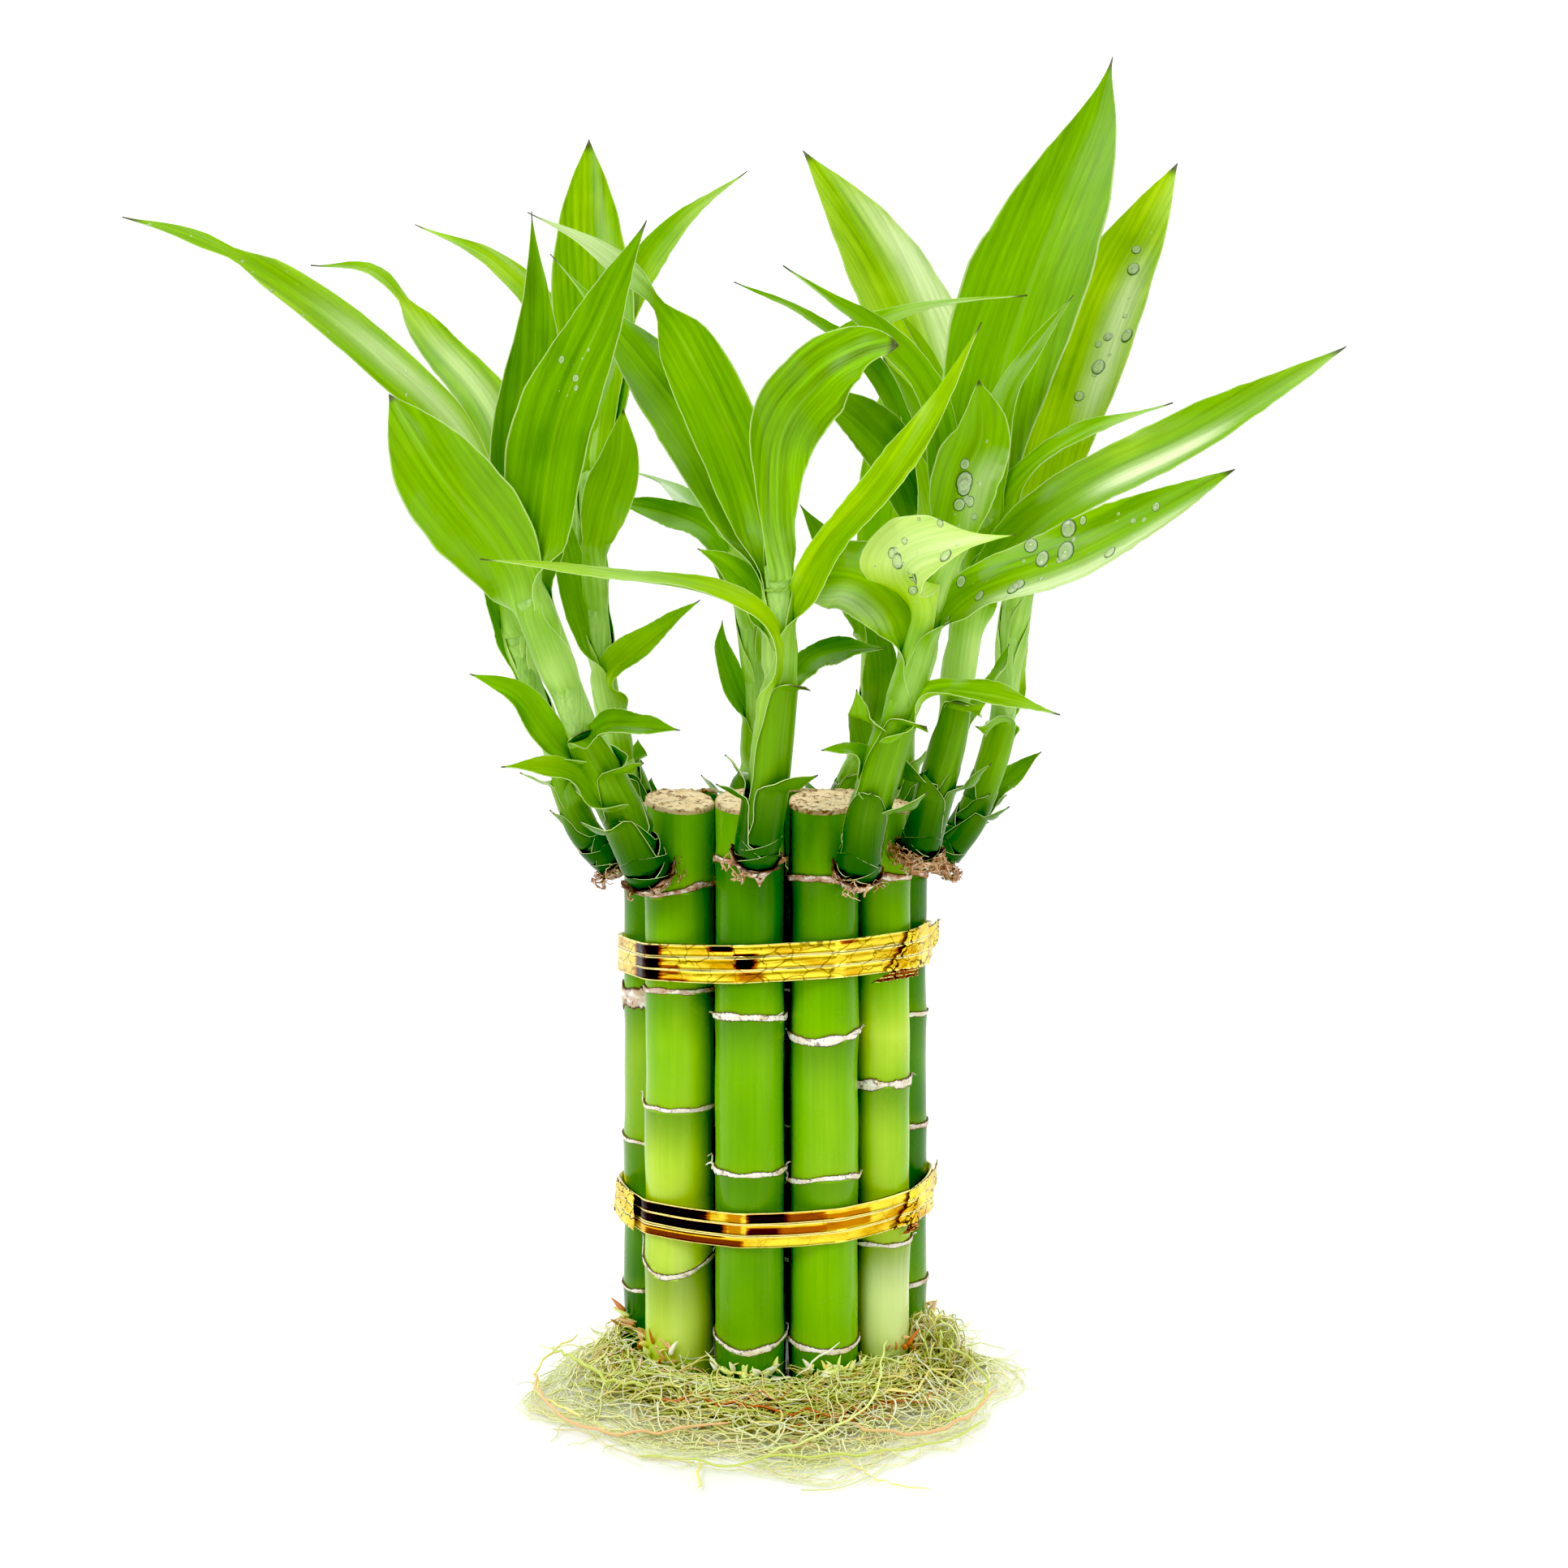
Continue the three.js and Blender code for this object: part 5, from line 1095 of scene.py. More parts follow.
# Small scales press close to the shoot's foot, all round it, each above the last
def footScales(shoot, stem, index):
    random = np.random.default_rng(300 + index)
    scales = []
    rings = shootForm["footRings"]
    for count in range(rings + shoot.get("footScales", 5)):
        ring = count < rings
        share = (1.2 + count * 1.5 if ring else 8 + (count - rings) * 3.2) / stem["length"]
        centre, ahead, first, other = stemFrame(stem, share)
        turn = count * 2.2 + random.uniform(-0.4, 0.4) + index
        outward = first * math.cos(turn) + other * math.sin(turn)
        radius = float(stemRadius(shoot, share))
        size = random.uniform(3.2, 4.4) if ring else random.uniform(8, 11)
        steps = [(0, 0), (0.1, 0.35), (0.2, 0.7), (0.3 if ring else random.uniform(0.6, 1.6), 1)]
        points = [tuple(centre + outward * (radius + out) + ahead * size * up) for out, up in steps]
        scales.append(leaf(8, *points, wrap=125 if ring else 100, hug=0.9 if ring else 0.65,
                           sheath=1.2, tone=random.uniform(-0.6, -0.1)))
    return scales


# Torn brown paper stands round the place where a shoot leaves its cane, with a tangle of fibres
collarForm = {
    "shards": 15,
    "shardRows": 9,
    "shardColumns": 5,
    "thickness": 0.35,
    "brown": 0.72,
    "fibres": (20, 16, 7, 14, 90, 80, 20, 20, 20, 20),
    "fibreSteps": 9,
    "fibreStep": 1.25,
    "fibreRadius": (0.16, 0.34),
}
fibreColours = {"brown": (138, 82, 48), "tan": (234, 190, 146), "dust": (250, 228, 198)}


def collarParts(shoot, stem, index):
    random = np.random.default_rng(400 + index)
    base, ahead, first, other = stemFrame(stem, 0)
    foot = shoot["foot"]
    long, wide = collarForm["shardRows"], collarForm["shardColumns"]
    shards = []
    for order in range(collarForm["shards"]):
        turn = order / collarForm["shards"] * 2 * math.pi + random.uniform(-0.15, 0.15)
        aside = abs(first[0] * math.cos(turn) + other[0] * math.sin(turn))
        lift = random.uniform(0.4, 1.6) + 3.2 * smooth(aside, 0.86, 1.0) * random.uniform(0.7, 1.1)
        reaches = [1.2, foot * 0.7, foot, foot + 0.6, foot + random.uniform(0.5, 1.5)]
        rises = [-2.9, -2.0, 0.2, lift * 0.6, lift]
        spread = random.uniform(0.32, 0.5)
        rows = []
        for share in np.linspace(0, 1, long):
            reach, rise = (np.interp(share, np.linspace(0, 1, 5), steps) for steps in (reaches, rises))
            side = np.linspace(-1, 1, wide) * spread * (1 - 0.75 * smooth(share, 0.5, 1.0))
            side = side + 0.12 * random.uniform(-1, 1)
            ring = first[None] * np.cos(turn + side)[:, None] + other[None] * np.sin(turn + side)[:, None]
            wrinkle = random.uniform(-0.2, 0.2, wide)
            rows.append(base + ring * (reach + wrinkle)[:, None] + ahead * rise)
        edge = np.maximum(np.abs(np.linspace(-1, 1, wide))[None, :], np.linspace(0, 1, long)[:, None] ** 3)
        shards.append(thickSheet(np.array(rows), collarForm["thickness"],
                                 scarEdge=edge * 0.8, scarBrown=collarForm["brown"]))
    fibres = []
    for _ in range(collarForm["fibres"][index]):
        turn = random.uniform(0, 2 * math.pi)
        heading = random.normal(0, 1, 3)
        place = first * math.cos(turn) * foot + other * math.sin(turn) * foot
        place = place + ahead * random.uniform(-2.5, 1.5)
        points = []
        for _ in range(collarForm["fibreSteps"]):
            points.append(base + place)
            heading = unit(heading + random.normal(0, 0.55, 3))
            flat = place - ahead * (place @ ahead)
            reach = np.linalg.norm(flat)
            pull = -flat / reach * (reach - foot - 1.2) * 0.5 - ahead * (place @ ahead) * 0.35
            place = place + unit(heading + pull) * collarForm["fibreStep"]
            flat = place - ahead * (place @ ahead)
            short = foot + 0.5 - np.linalg.norm(flat)
            if short > 0 and place @ ahead > -1.5:
                place = place + unit(flat) * short
        thin = random.uniform(*collarForm["fibreRadius"]) * np.linspace(1, 0.5, len(points))
        fibres.append(tubeAlong(np.array(points), thin, 4, fibreTone=random.uniform(0, 1)))
    return joinParts(shards), joinParts(fibres)


def fibreMaterial():
    material, place = newMaterial("dryFibre")
    base = paint(linear(*fibreColours["brown"]), "fibreTone", fibreColours["tan"])
    grain = addNoise(place, 900, 3)
    base = paint(base, addRange(grain, 0.45, 0.75), fibreColours["dust"])
    return finishMaterial(material, base, 0.75, (grain, 0.5, 0.2))


def stemPart(shoot, stem, seed):
    shares = np.linspace(0, 1, shootForm["stemRows"])
    centre, ahead = onPath(stem, shares)
    distance = shares * stem["length"]
    radius = stemRadius(shoot, shares) * 0.97
    foot = 1 - smooth(distance, 8, 18)
    radius = radius + foot * 0.35 * np.abs(np.sin(distance * 1.9 + 0.4 * wander(distance, seed))) - foot * 0.2
    radius = radius * footShape(distance)
    radius[-1] *= 0.3
    rings, ring, turns = ringsAlong(centre, ahead, radius, shootForm["stemSides"], [0, 1, 0.1])
    rings = rings + ring * 0.12 * wanderRound(turns, seed, 3, 6)[None, :, None]
    return closedTube(rings, stemAlong=distance[:, None])


def leafMaterial():
    material, place = newMaterial("freshLeaf")
    inputs = {"X": "leafSide", "Y": times("leafReach", 0.03), "Z": times("leafSeed", 50)}
    vein = addNode("CombineXYZ", inputs).outputs[0]  # in mm across the leaf, and drawn out along it
    blotch = drifting(addNoise(place, 46, 3), addNoise(vein, 1, 2, (0.24, 0.5, 1)), 0.6)
    base = paintSteps(drifting("leafTone", blotch, 0.9), leafColours["darkest"], leafColours["brighter"])
    sheath = times(addRange("leafAlong", -0.1, 0.25, 1, 0), addRange("leafScale", 0, 0.6, 1, 0))
    pith = paint(linear(*leafColours["sheath"]), addRange(blotch, 0.3, 0.7), leafColours["paleSheath"])
    base = addMix(sheath, base, pith)
    mask, height = useGroup(fibreGroup, vein, 0.9, 1.4)
    base = grained(base, addMath("MULTIPLY_ADD", "leafVeins", 0.6, 0.42), mask)
    spread = addMath("ABSOLUTE", "leafAcross")
    base = paint(base, addRange(spread, 0.0, 0.07, 0.14, 0), leafColours["midrib"])
    base = paint(base, addRange("upperSide", 0, 1, 0.14, 0), leafColours["underside"])
    base = paint(base, addRange("leafPlace", 4, 38, 0.92, 0), leafColours["foot"])
    # painted shade: a dark line just inside the rim of scales and sheaths
    inside = times(addRange(spread, 0.8, 0.93), "leafScale")
    base = paint(base, times(inside, 0.5), leafColours["rimShadeLine"])
    rim = times(addRange(spread, 0.955, 0.985), addRange("leafScale", 0, 0.6, 0.5, 0.85))
    base = paint(base, rim, leafColours["rim"])
    # painted highlight: a pale band of glare on some blades
    glare = times(addRange(height, 0.3, 0.6, 0.7, 1), "leafBand")
    base = paint(base, glare, leafColours["band"])
    base = paint(base, times(addRange("leafAlong", 0.955, 0.985), 0.85), leafColours["tip"])
    rough = addRange(height, 0.3, 0.7, 0.27, 0.42)
    gloss = {"Specular IOR Level": 0.26, "Coat Weight": 0.05, "Coat Roughness": 0.15}
    return finishMaterial(material, base, rough, (height, 0.35, 0.25), gloss)


def stemMaterial():
    material, place = newMaterial("juicyStem")
    base = paint(linear(*stemColours["green"]), addNoise(place, 70, 3), stemColours["pale"])
    base = paint(base, addRange("stemAlong", 6, 22, 0.9, 0), stemColours["foot"])
    mask, height = useGroup(fibreGroup, stretched(place, (1100, 1100, 40)), 1.0, 1.2)
    return finishMaterial(material, grained(base, 0.6, mask), 0.4, (height, 0.3, 0.2))


def buildShoots():
    leafSkin, stemSkin, paper, fibre = leafMaterial(), stemMaterial(), scarMaterial(), fibreMaterial()
    dew = dewMaterial()
    for index, (shoot, cane) in enumerate(zip(shoots, canes)):
        node = f"shoot_{index + 1:02d}"
        stem = newPath(shoot["stem"])
        addPiece(f"{node}_stem", stemPart(shoot, stem, 20 + index), stemSkin, node)
        heights = [blade["points"][0][2] for blade in shoot["blades"]]
        above = [sum(other > height for other in heights) for height in heights]
        stands = [shootForm["sheathStand"] + shootForm["sheathLayer"] * count for count in above]
        leaves, wet = [], []
        for order, (blade, stand) in enumerate(zip(shoot["blades"], stands)):
            sheet, drops = leafPart(blade, shoot, stem, stand, 1000 + index * 20 + order)
            leaves.append(sheet)
            wet += drops
        addPiece(f"{node}_leaves", joinParts(leaves), leafSkin, node)
        if wet:
            addPiece(f"{node}_dew", joinParts(wet), dew, node)
        scales = shoot.get("scales") or backScales(shoot, cane, index)
        small = sorted(scales + footScales(shoot, stem, index), key=lambda scale: -scale["points"][0][2])
        stands = [max(stands) + shootForm["scaleLayer"] * (order + 1) for order in range(len(small))]
        small = [leafPart(scale, shoot, stem, stand, 2000 + index * 30 + order, True)[0]
                 for order, (scale, stand) in enumerate(zip(small, stands))]
        addPiece(f"{node}_scales", joinParts(small), leafSkin, node)
        shards, fibres = collarParts(shoot, stem, index)
        addPiece(f"{node}_collar", shards, paper, node)
        addPiece(f"{node}_fibres", fibres, fibre, node)
    print("shoots built:", len(shoots))


# Gold ties: flat foil wraps side by side, with a ridge along each edge. Dark reflections are painted
# on the foil, each over a span: from x, to x, from lane, to lane, depth. A patch is a crumpled end of
# foil: its turns are in degrees from the front, and it may carry a painted dark reflection too. The tab is
# the loose end at the right: turn, way out and rise of its points.

tieForm = {
    "wraps": 3,
    "arcSteps": 11,
    "spanSteps": 10,
    "rowsPerWrap": 14,
    "gap": 0.8,
    "thickness": 1.0,
    "crown": 0.16,
    "ridge": 0.34,
    "crease": 0.07,
    "sway": 0.12,
    "foil": 0.3,
    "patchColumns": 60,
    "patchRows": 22,
    "tabCane": 6,
    "tabRows": 16,
    "tabColumns": 15,
    "tabSteps": [(-14, 0.7, 0.2), (0, 0.8, 0.9), (14, 1.5, 1.9), (28, 2.4, 2.9)],
}
# Two of these colours, a brown and a near black, are painted dark reflections, and the dark brown for seams
# is painted shade between the wraps; the cracks are drawn in it too.
goldColours = {
    "bright": (255, 226, 74), "deep": (206, 146, 24), "reflectionBrown": (176, 96, 20), "dark": (34, 12, 4),
    "ridge": (255, 240, 150), "seamShade": (70, 36, 6),
}
ties = {
    "tie_upper": {
        "height": 9.6, "middle": 110.3, "slope": 0.04, "tabTurn": -24, "bulge": 0.4, "cracks": 0.65,
        "darkReflections": [(-36, -28.5, -0.2, 3.2, 1), (-28.5, -24, 0.6, 1.4, 0.5), (-16.5, -10.5, 2.45, 3, 1),
                   (-10, -5, 1.1, 2.3, 0.9), (-9, -2, 0.2, 0.9, 0.35), (-28, -22, 0, 0.3, 0.6),
                   (16, 20, 2.6, 3, 0.6), (30, 35, 1.5, 2, 0.5)],
        "patches": [{"turns": (40, 76), "rise": (-4.6, 5.2), "grow": 1.6},
                    {"turns": (33, 60), "rise": (-6.8, -4.3), "grow": 0.4, "paintedReflection": 0.6}]},
    "tie_lower": {
        "height": 8.6, "middle": 45.1, "slope": 0.027, "tabTurn": -12, "bulge": 0.8, "cracks": 0.25,
        "darkReflections": [(-37, -17, 1.9, 3, 1), (-36, -13, 0.75, 1.9, 1), (-33, -8, 0, 0.65, 0.7),
                   (-12, -8, 1, 2.9, 0.35), (-7, 3, 1.9, 2.9, 0.85), (-7, 1, 0.9, 1.7, 0.8),
                   (3, 12, 1.9, 2.8, 0.62), (1, 12, 0.9, 1.7, 0.5), (12, 24, 1.2, 2.6, 0.35)],
        "patches": [{"turns": (-88, -57), "rise": (-4.6, 4.9), "grow": 0.4},
                    {"turns": (44, 80), "rise": (-4.1, 4.6), "grow": 1.2},
                    {"turns": (47, 60), "rise": (-6.1, -4), "grow": 0.4, "paintedReflection": 0.5}]},
}


def beltOutline(distance, bulge):
    outline = []
    for index, cane in enumerate(canes):
        centre = caneCentre(cane)
        before = caneCentre(canes[index - 1]) - centre
        after = caneCentre(canes[(index + 1) % len(canes)]) - centre
        start = math.atan2(before[1], before[0]) + math.pi / 2
        sweep = (math.atan2(after[1], after[0]) - math.pi / 2 - start) % (2 * math.pi)
        turns = start + sweep * np.linspace(0, 1, tieForm["arcSteps"])
        reach = cane["diameter"] / 2 + distance
        outline.append(centre + np.stack([np.cos(turns), np.sin(turns)], 1) * reach)
    belt = []
    for arc, onward in zip(outline, outline[1:] + outline[:1]):
        share = np.linspace(0, 1, tieForm["spanSteps"] + 1)[1:-1, None]
        span = arc[-1] * (1 - share) + onward[0] * share
        belt += [arc, span + unit(span) * bulge * np.sin(math.pi * share)]
    return np.vstack(belt)


def tieStain(tie, x, lanes, seed):  # painted dark reflections, each with a ragged edge
    dark = np.zeros_like(x)
    for order, (fromX, toX, low, high, depth) in enumerate(tie["darkReflections"]):
        ragged = 0.5 * wander(lanes * 7 + x * 0.3, seed + order)
        side = smooth(x, fromX - 0.4 + ragged, fromX + 0.5 + ragged)
        side = side * (1 - smooth(x, toX - 0.6 + ragged, toX + 0.6 + ragged))
        band = smooth(lanes, low - 0.05, low + 0.07) * (1 - smooth(lanes, high - 0.07, high + 0.05))
        dark = np.maximum(dark, depth * side * band)
    return dark


def tiePart(tie, seed):
    inner = beltOutline(tieForm["gap"], tie["bulge"])
    out = beltOutline(tieForm["gap"] + 1, tie["bulge"]) - inner
    turns = np.arctan2(inner[:, 1], inner[:, 0])
    low, lanesOf = -tie["height"] / 2, tieForm["wraps"]
    rows = [(0, low, 0)]
    for wrap in range(lanesOf):
        waves = seed + wrap * 5
        shift = 0.28 * wanderRound(turns, waves, 1, 5)
        for row in range(tieForm["rowsPerWrap"]):
            share = (row + 0.5) / tieForm["rowsPerWrap"]
            edge = math.exp(-((share - 0.07) / 0.05)**2) + math.exp(-((share - 0.93) / 0.05)**2)
            crease = tieForm["crease"] * wanderRound(turns + share * 2.5, waves + 1, 9, 46)
            stand = 0.5 + tieForm["crown"] * math.sin(math.pi * share) + tieForm["ridge"] * edge
            stand = tieForm["thickness"] * (stand + crease * (1 - 0.6 * min(edge, 1)))
            stand = stand + tieForm["sway"] * wanderRound(turns, waves + 2, 3, 11)
            rows.append((stand, low + (wrap + share) * (tie["height"] / lanesOf) + shift, wrap + share))
    rows.append((0, -low, lanesOf))
    stands, rises, lanes = (np.stack([np.broadcast_to(value, turns.shape) for value in column], 1)
                            for column in zip(*rows))
    flat = inner[:, None] + out[:, None] * stands[..., None]
    height = tie["middle"] + tie["slope"] * flat[..., 0] + rises
    grid = np.concatenate([flat, height[..., None]], -1)
    seen = grid[..., 1] < 12  # the dark reflections lie on the front half
    paintedReflection = tieStain(tie, grid[..., 0], lanes, seed) * seen
    return closedBand(grid, tieLane=lanes, tieStain=paintedReflection, tieCracks=tie["cracks"])


def foilPatchPart(tie, patch, seed):  # a crumpled end of foil that lies over the wraps
    outline = beltOutline(tieForm["gap"] + 1.35, tie["bulge"])
    turns = np.degrees(np.arctan2(outline[:, 0], -outline[:, 1]))
    low, high = patch["turns"]
    chosen = outline[(turns > low) & (turns < high)]
    chosen = chosen[np.argsort(np.degrees(np.arctan2(chosen[:, 0], -chosen[:, 1])))]
    share = np.linspace(0, 1, tieForm["patchColumns"])[:, None]
    rows = np.linspace(0, 1, tieForm["patchRows"])[None, :]
    torn = 0.16 + 0.3 * (rows - 0.5) + 0.05 * wander(rows * 9, seed + 3)
    slide = share + np.clip(torn, 0, 1) * (1 - share)  # the torn edge runs aslant
    flat = np.stack([np.interp(slide, np.linspace(0, 1, len(chosen)), side) for side in chosen.T], -1)
    bump = 0.22 * wander(share * 21 + rows * 5, seed) + 0.16 * wander(share * 9 - rows * 13, seed + 1)
    grow = 1 + (patch["grow"] - 0.4) * 0.12 * share
    ragged = 0.5 * wander(share * 24, seed + 2) * (rows - 0.5)
    rise = (patch["rise"][0] + (patch["rise"][1] - patch["rise"][0]) * rows + ragged) * grow
    stand = (bump + 0.25) * (0.15 + 0.85 * smooth(share, 0, 0.15))
    place = flat + unit(flat) * stand[..., None]
    height = tie["middle"] + tie["slope"] * place[..., 0] + rise
    grid = np.concatenate([place, height[..., None]], -1)
    return thickSheet(grid, tieForm["foil"], tieLane=rows * 2.98 + 0.01,
                      tieStain=patch.get("paintedReflection", 0), tieCracks=1)


def tieTabPart(tie, seed):  # the loose end at the right
    cane = canes[tieForm["tabCane"] - 1]
    points = []
    for turn, out, up in tieForm["tabSteps"]:
        angle = math.radians(tie["tabTurn"] + turn)
        away = np.array([math.cos(angle), math.sin(angle)])
        x, y = caneCentre(cane) + away * (cane["diameter"] / 2 + 0.8 + out)
        points.append((x, y, tie["middle"] + tie["slope"] * x + up))
    shares = np.linspace(0, 1, tieForm["tabRows"])
    centre, ahead, up = bladeFrame({"face": (1, 0, 0), "points": points}, shares)
    sideways = np.cross(ahead, up)
    across = np.linspace(-1, 1, tieForm["tabColumns"])[None, :]
    half = tie["height"] * 0.4 * (1 - 0.35 * shares**3 + 0.12 * wander(shares * 12, seed + 1))
    curl = 0.3 * across**2 + 0.3 * wander(shares[:, None] * 9 + across * 4, seed)
    grid = centre[:, None] + sideways[:, None] * (across * half[:, None])[..., None]
    grid = grid + up[:, None] * curl[..., None]
    return thickSheet(grid, tieForm["foil"], tieLane=across * 1.49 + 1.5, tieStain=0.1, tieCracks=0.8)


def goldMaterial():
    material, place = newMaterial("goldFoil")
    folds = addNoise(place, 75, 4, (1, 1, 2.5))
    base = paint(linear(*goldColours["bright"]), addRange(folds, 0.42, 0.75), goldColours["deep"])
    edge = addMath("ABSOLUTE", addMath("SUBTRACT", addMath("FRACT", "tieLane"), 0.5))
    wavy = {0: stretched(place, (150, 150, 260)), 1: addNoise(place, 260, 2)}
    wavy = addNode("VectorMath", wavy, operation="ADD").outputs[0]
    cracks = addNode("TexVoronoi", {"Vector": wavy, "Scale": 1}, feature="DISTANCE_TO_EDGE")
    line = addRange(cracks.outputs["Distance"], 0.012, 0.05, 1, 0)
    onlySome = addRange(addNoise(place, 48, 2), 0.4, 0.48)
    line = times(line, times(onlySome, "tieCracks"))
    # painted dark reflections, brown and then near black, weaker on each wrap's raised edges
    paintedReflection = times("tieStain", addRange(edge, 0.38, 0.44, 1, 0.25))
    base = paint(base, addRange(paintedReflection, 0.05, 0.45), goldColours["reflectionBrown"])
    base = paint(base, addRange(paintedReflection, 0.4, 0.9), goldColours["dark"])
    base = paint(base, addRange(edge, 0.36, 0.42), goldColours["ridge"])
    # painted shade in the seam between wraps; the foil's cracks are drawn in the same dark colour
    seamShade = addRange(edge, 0.47, 0.495)
    base = paint(base, addMath("MAXIMUM", seamShade, line), goldColours["seamShade"])
    rough = addRange(folds, 0.3, 0.8, 0.16, 0.34)
    crinkle = addNoise(place, 420, 3, (1, 1, 0.5))
    return finishMaterial(material, base, rough, (crinkle, 0.35, 0.3), {"Metallic": 0.85})


def buildTies():
    foil = goldMaterial()
    for seed, (node, tie) in enumerate(ties.items()):
        addPiece(f"{node}_wraps", tiePart(tie, 60 + seed * 40), foil, node)
        patches = enumerate(tie["patches"], 75 + seed * 9)
        ends = [foilPatchPart(tie, patch, patchSeed) for patchSeed, patch in patches]
        addPiece(f"{node}_ends", joinParts(ends + [tieTabPart(tie, 70 + seed)]), foil, node)
    print("ties built:", len(ties))


# Root nest: fine strands that swirl about the feet of the canes

nestForm = {
    "front": 65,  # how far it reaches from the ring's middle, in front and behind
    "back": 47,
    "inner": 41.5,  # the outer side of the canes
    "height": 9,
    "lowest": (-66.5, -83.4, 0.48),  # no root lies past these two corners
    "highest": (66.5, 51.0, 18.6),
    "strands": 430,
    "strays": 70,
    "steps": 22,
    "sweepLength": (26, 85),
    "strandRadius": (0.14, 0.32),  # the least, and how much more the thickest has
    "strayRadius": (0.12, 0.2),
    "curls": 700,
    "curlSteps": 15,
    "curlStep": 1.25,
    "tuft": 230,
    "tuftSteps": 14,
    "tuftStep": 1.6,
    "tuftPlace": (41, -17, 5),
    "tuftSize": (9, 9, 12.5),
    "fine": (0.16, 0.34),
}
rootColours = {  # the tones run from the whitest root, at 0, to orange, at 1
    "whitest": (255, 255, 232),
    "others": [(0.1, 0.3, (240, 252, 160)), (0.45, 0.6, (255, 240, 150)), (0.72, 0.8, (208, 222, 112)),
               (0.91, 0.94, (240, 196, 142)), (0.955, 0.985, (212, 122, 62))],
    # deep is painted shade on strands low in the heap near the canes, and pale is painted light that washes
    # the outer strands towards white.
    "patch": (226, 208, 140), "deep": (120, 92, 26), "pale": (252, 255, 206),
}
thickRoots = [  # radius, tone as in rootColours, and places
    (0.34, 0.94, (-62, -24, 4), (-58, -38, 4.5), (-51, -50, 3), (-37, -56.5, 2), (-23.6, -57.6, 3),
     (-10, -57, 4.5)),
    (0.38, 0.94, (54, -41, 6), (45, -53.5, 4), (31, -60, 3), (18, -59, 5)),
    (0.28, 0.8, (-30, -67, 1), (-19, -71.7, 2), (-9.7, -75, 2.6), (1, -71, 3), (19, -69.6, 2.5),
     (36.6, -63, 2), (50, -52, 3)),
    (0.28, 0.35, (28, -28, 13), (27, -35, 12), (24.6, -45, 8), (20, -54, 5.5), (10, -63, 4), (-2, -68, 2)),
    (0.22, 0.1, (16, -38.6, 17), (11.4, -39.6, 13.6), (8, -41, 11), (5, -43, 9.5)),
    (0.33, 0.75, (-17, -70, 2), (-16.6, -77, 1.2), (-16, -83, 0.8)),
    (0.19, 0.6, (14, -68, 2), (20, -75, 1), (27, -81, 0.7), (34, -82.6, 0.6)),
    (0.39, 0.85, (-58, -18, 8), (-50, -30, 9), (-40, -40, 8), (-30, -44, 8)),
    (0.33, 0.55, (-52, -12, 9), (-60, -20, 5), (-59, -34, 2.5), (-46, -48, 2)),
    (0.33, 0.8, (44, -26, 12), (52, -32, 7), (50, -44, 4), (38, -54, 3)),
]


def nestReach(angle):  # angle in radians from the front
    reach = nestForm["back"] + (nestForm["front"] - nestForm["back"]) * smooth(np.cos(angle), -0.35, 0.9)
    return reach * (1 + 0.04 * np.sin(5 * angle + 1) + 0.03 * np.sin(11 * angle))


def heapHeight(angle, reach):
    share = np.clip((reach - nestForm["inner"]) / (nestReach(angle) - nestForm["inner"]), 0, 1)
    return 0.4 + nestForm["height"] * (1 - share) ** 0.9


def clearOfCanes(points):  # strands go round the canes
    for cane in canes:
        centre = caneCentre(cane)
        away = points[:, :2] - centre
        gap = np.linalg.norm(away, axis=1)
        need = cane["diameter"] / 2 + 0.5
        short = gap < need
        points[short, :2] = centre + away[short] / gap[short, None] * need
    return np.clip(points, nestForm["lowest"], nestForm["highest"])


def thread(points, radius, **values):  # a fine root that thins towards its tip
    return tubeAlong(clearOfCanes(points), radius * np.linspace(1, 0.5, len(points)), 3, **values)


def sweepParts(seed, count, stray=False):  # long roots that sweep round the canes
    random = np.random.default_rng(seed)
    inner = nestForm["inner"] + 0.8
    parts = []
    for order in range(count):
        angle = random.uniform(-math.pi, math.pi) if order % 3 == 0 else random.normal(0, 0.85)
        length = random.uniform(*nestForm["sweepLength"])
        travel = np.linspace(-0.5, 0.5, nestForm["steps"]) * length
        shape = int(random.integers(1 << 30))
        angles = angle + travel / 50
        lane = random.uniform(0.85, 1.5) if stray else random.uniform(0, 1) ** 4
        share = lane + random.uniform(-0.6, 0.6) * travel / length
        share = np.abs(share + random.uniform(0.08, 0.3) * wander(travel / 9, shape))
        share = np.where(share > 1, 1 + (share - 1) * (0.8 if stray else -0.8), share)
        reach = inner + (nestReach(angles) - nestForm["inner"] - 0.8) * share
        lift = random.uniform(0.02, 1)
        height = 0.3 + lift * heapHeight(angles, reach) + 0.5 * wander(travel / 5, shape + 1)
        points = np.stack([np.sin(angles) * reach, -np.cos(angles) * reach, height], 1)
        thin, more = nestForm["strandRadius"]
        thick = random.uniform(*nestForm["strayRadius"]) if stray else thin + more * random.uniform(0, 1) ** 2
        # painted light that washes the outer strands pale
        pale = smooth(share, 0.45, 1.05)[:, None]
        # painted shade on strands that lie low in the heap
        deep = (1 - smooth(lift, 0.1, 0.5)) * (1 - pale)
        parts.append(thread(points, thick, rootTone=random.uniform(0, 1), rootPale=pale, rootDeep=deep))
    return joinParts(parts)


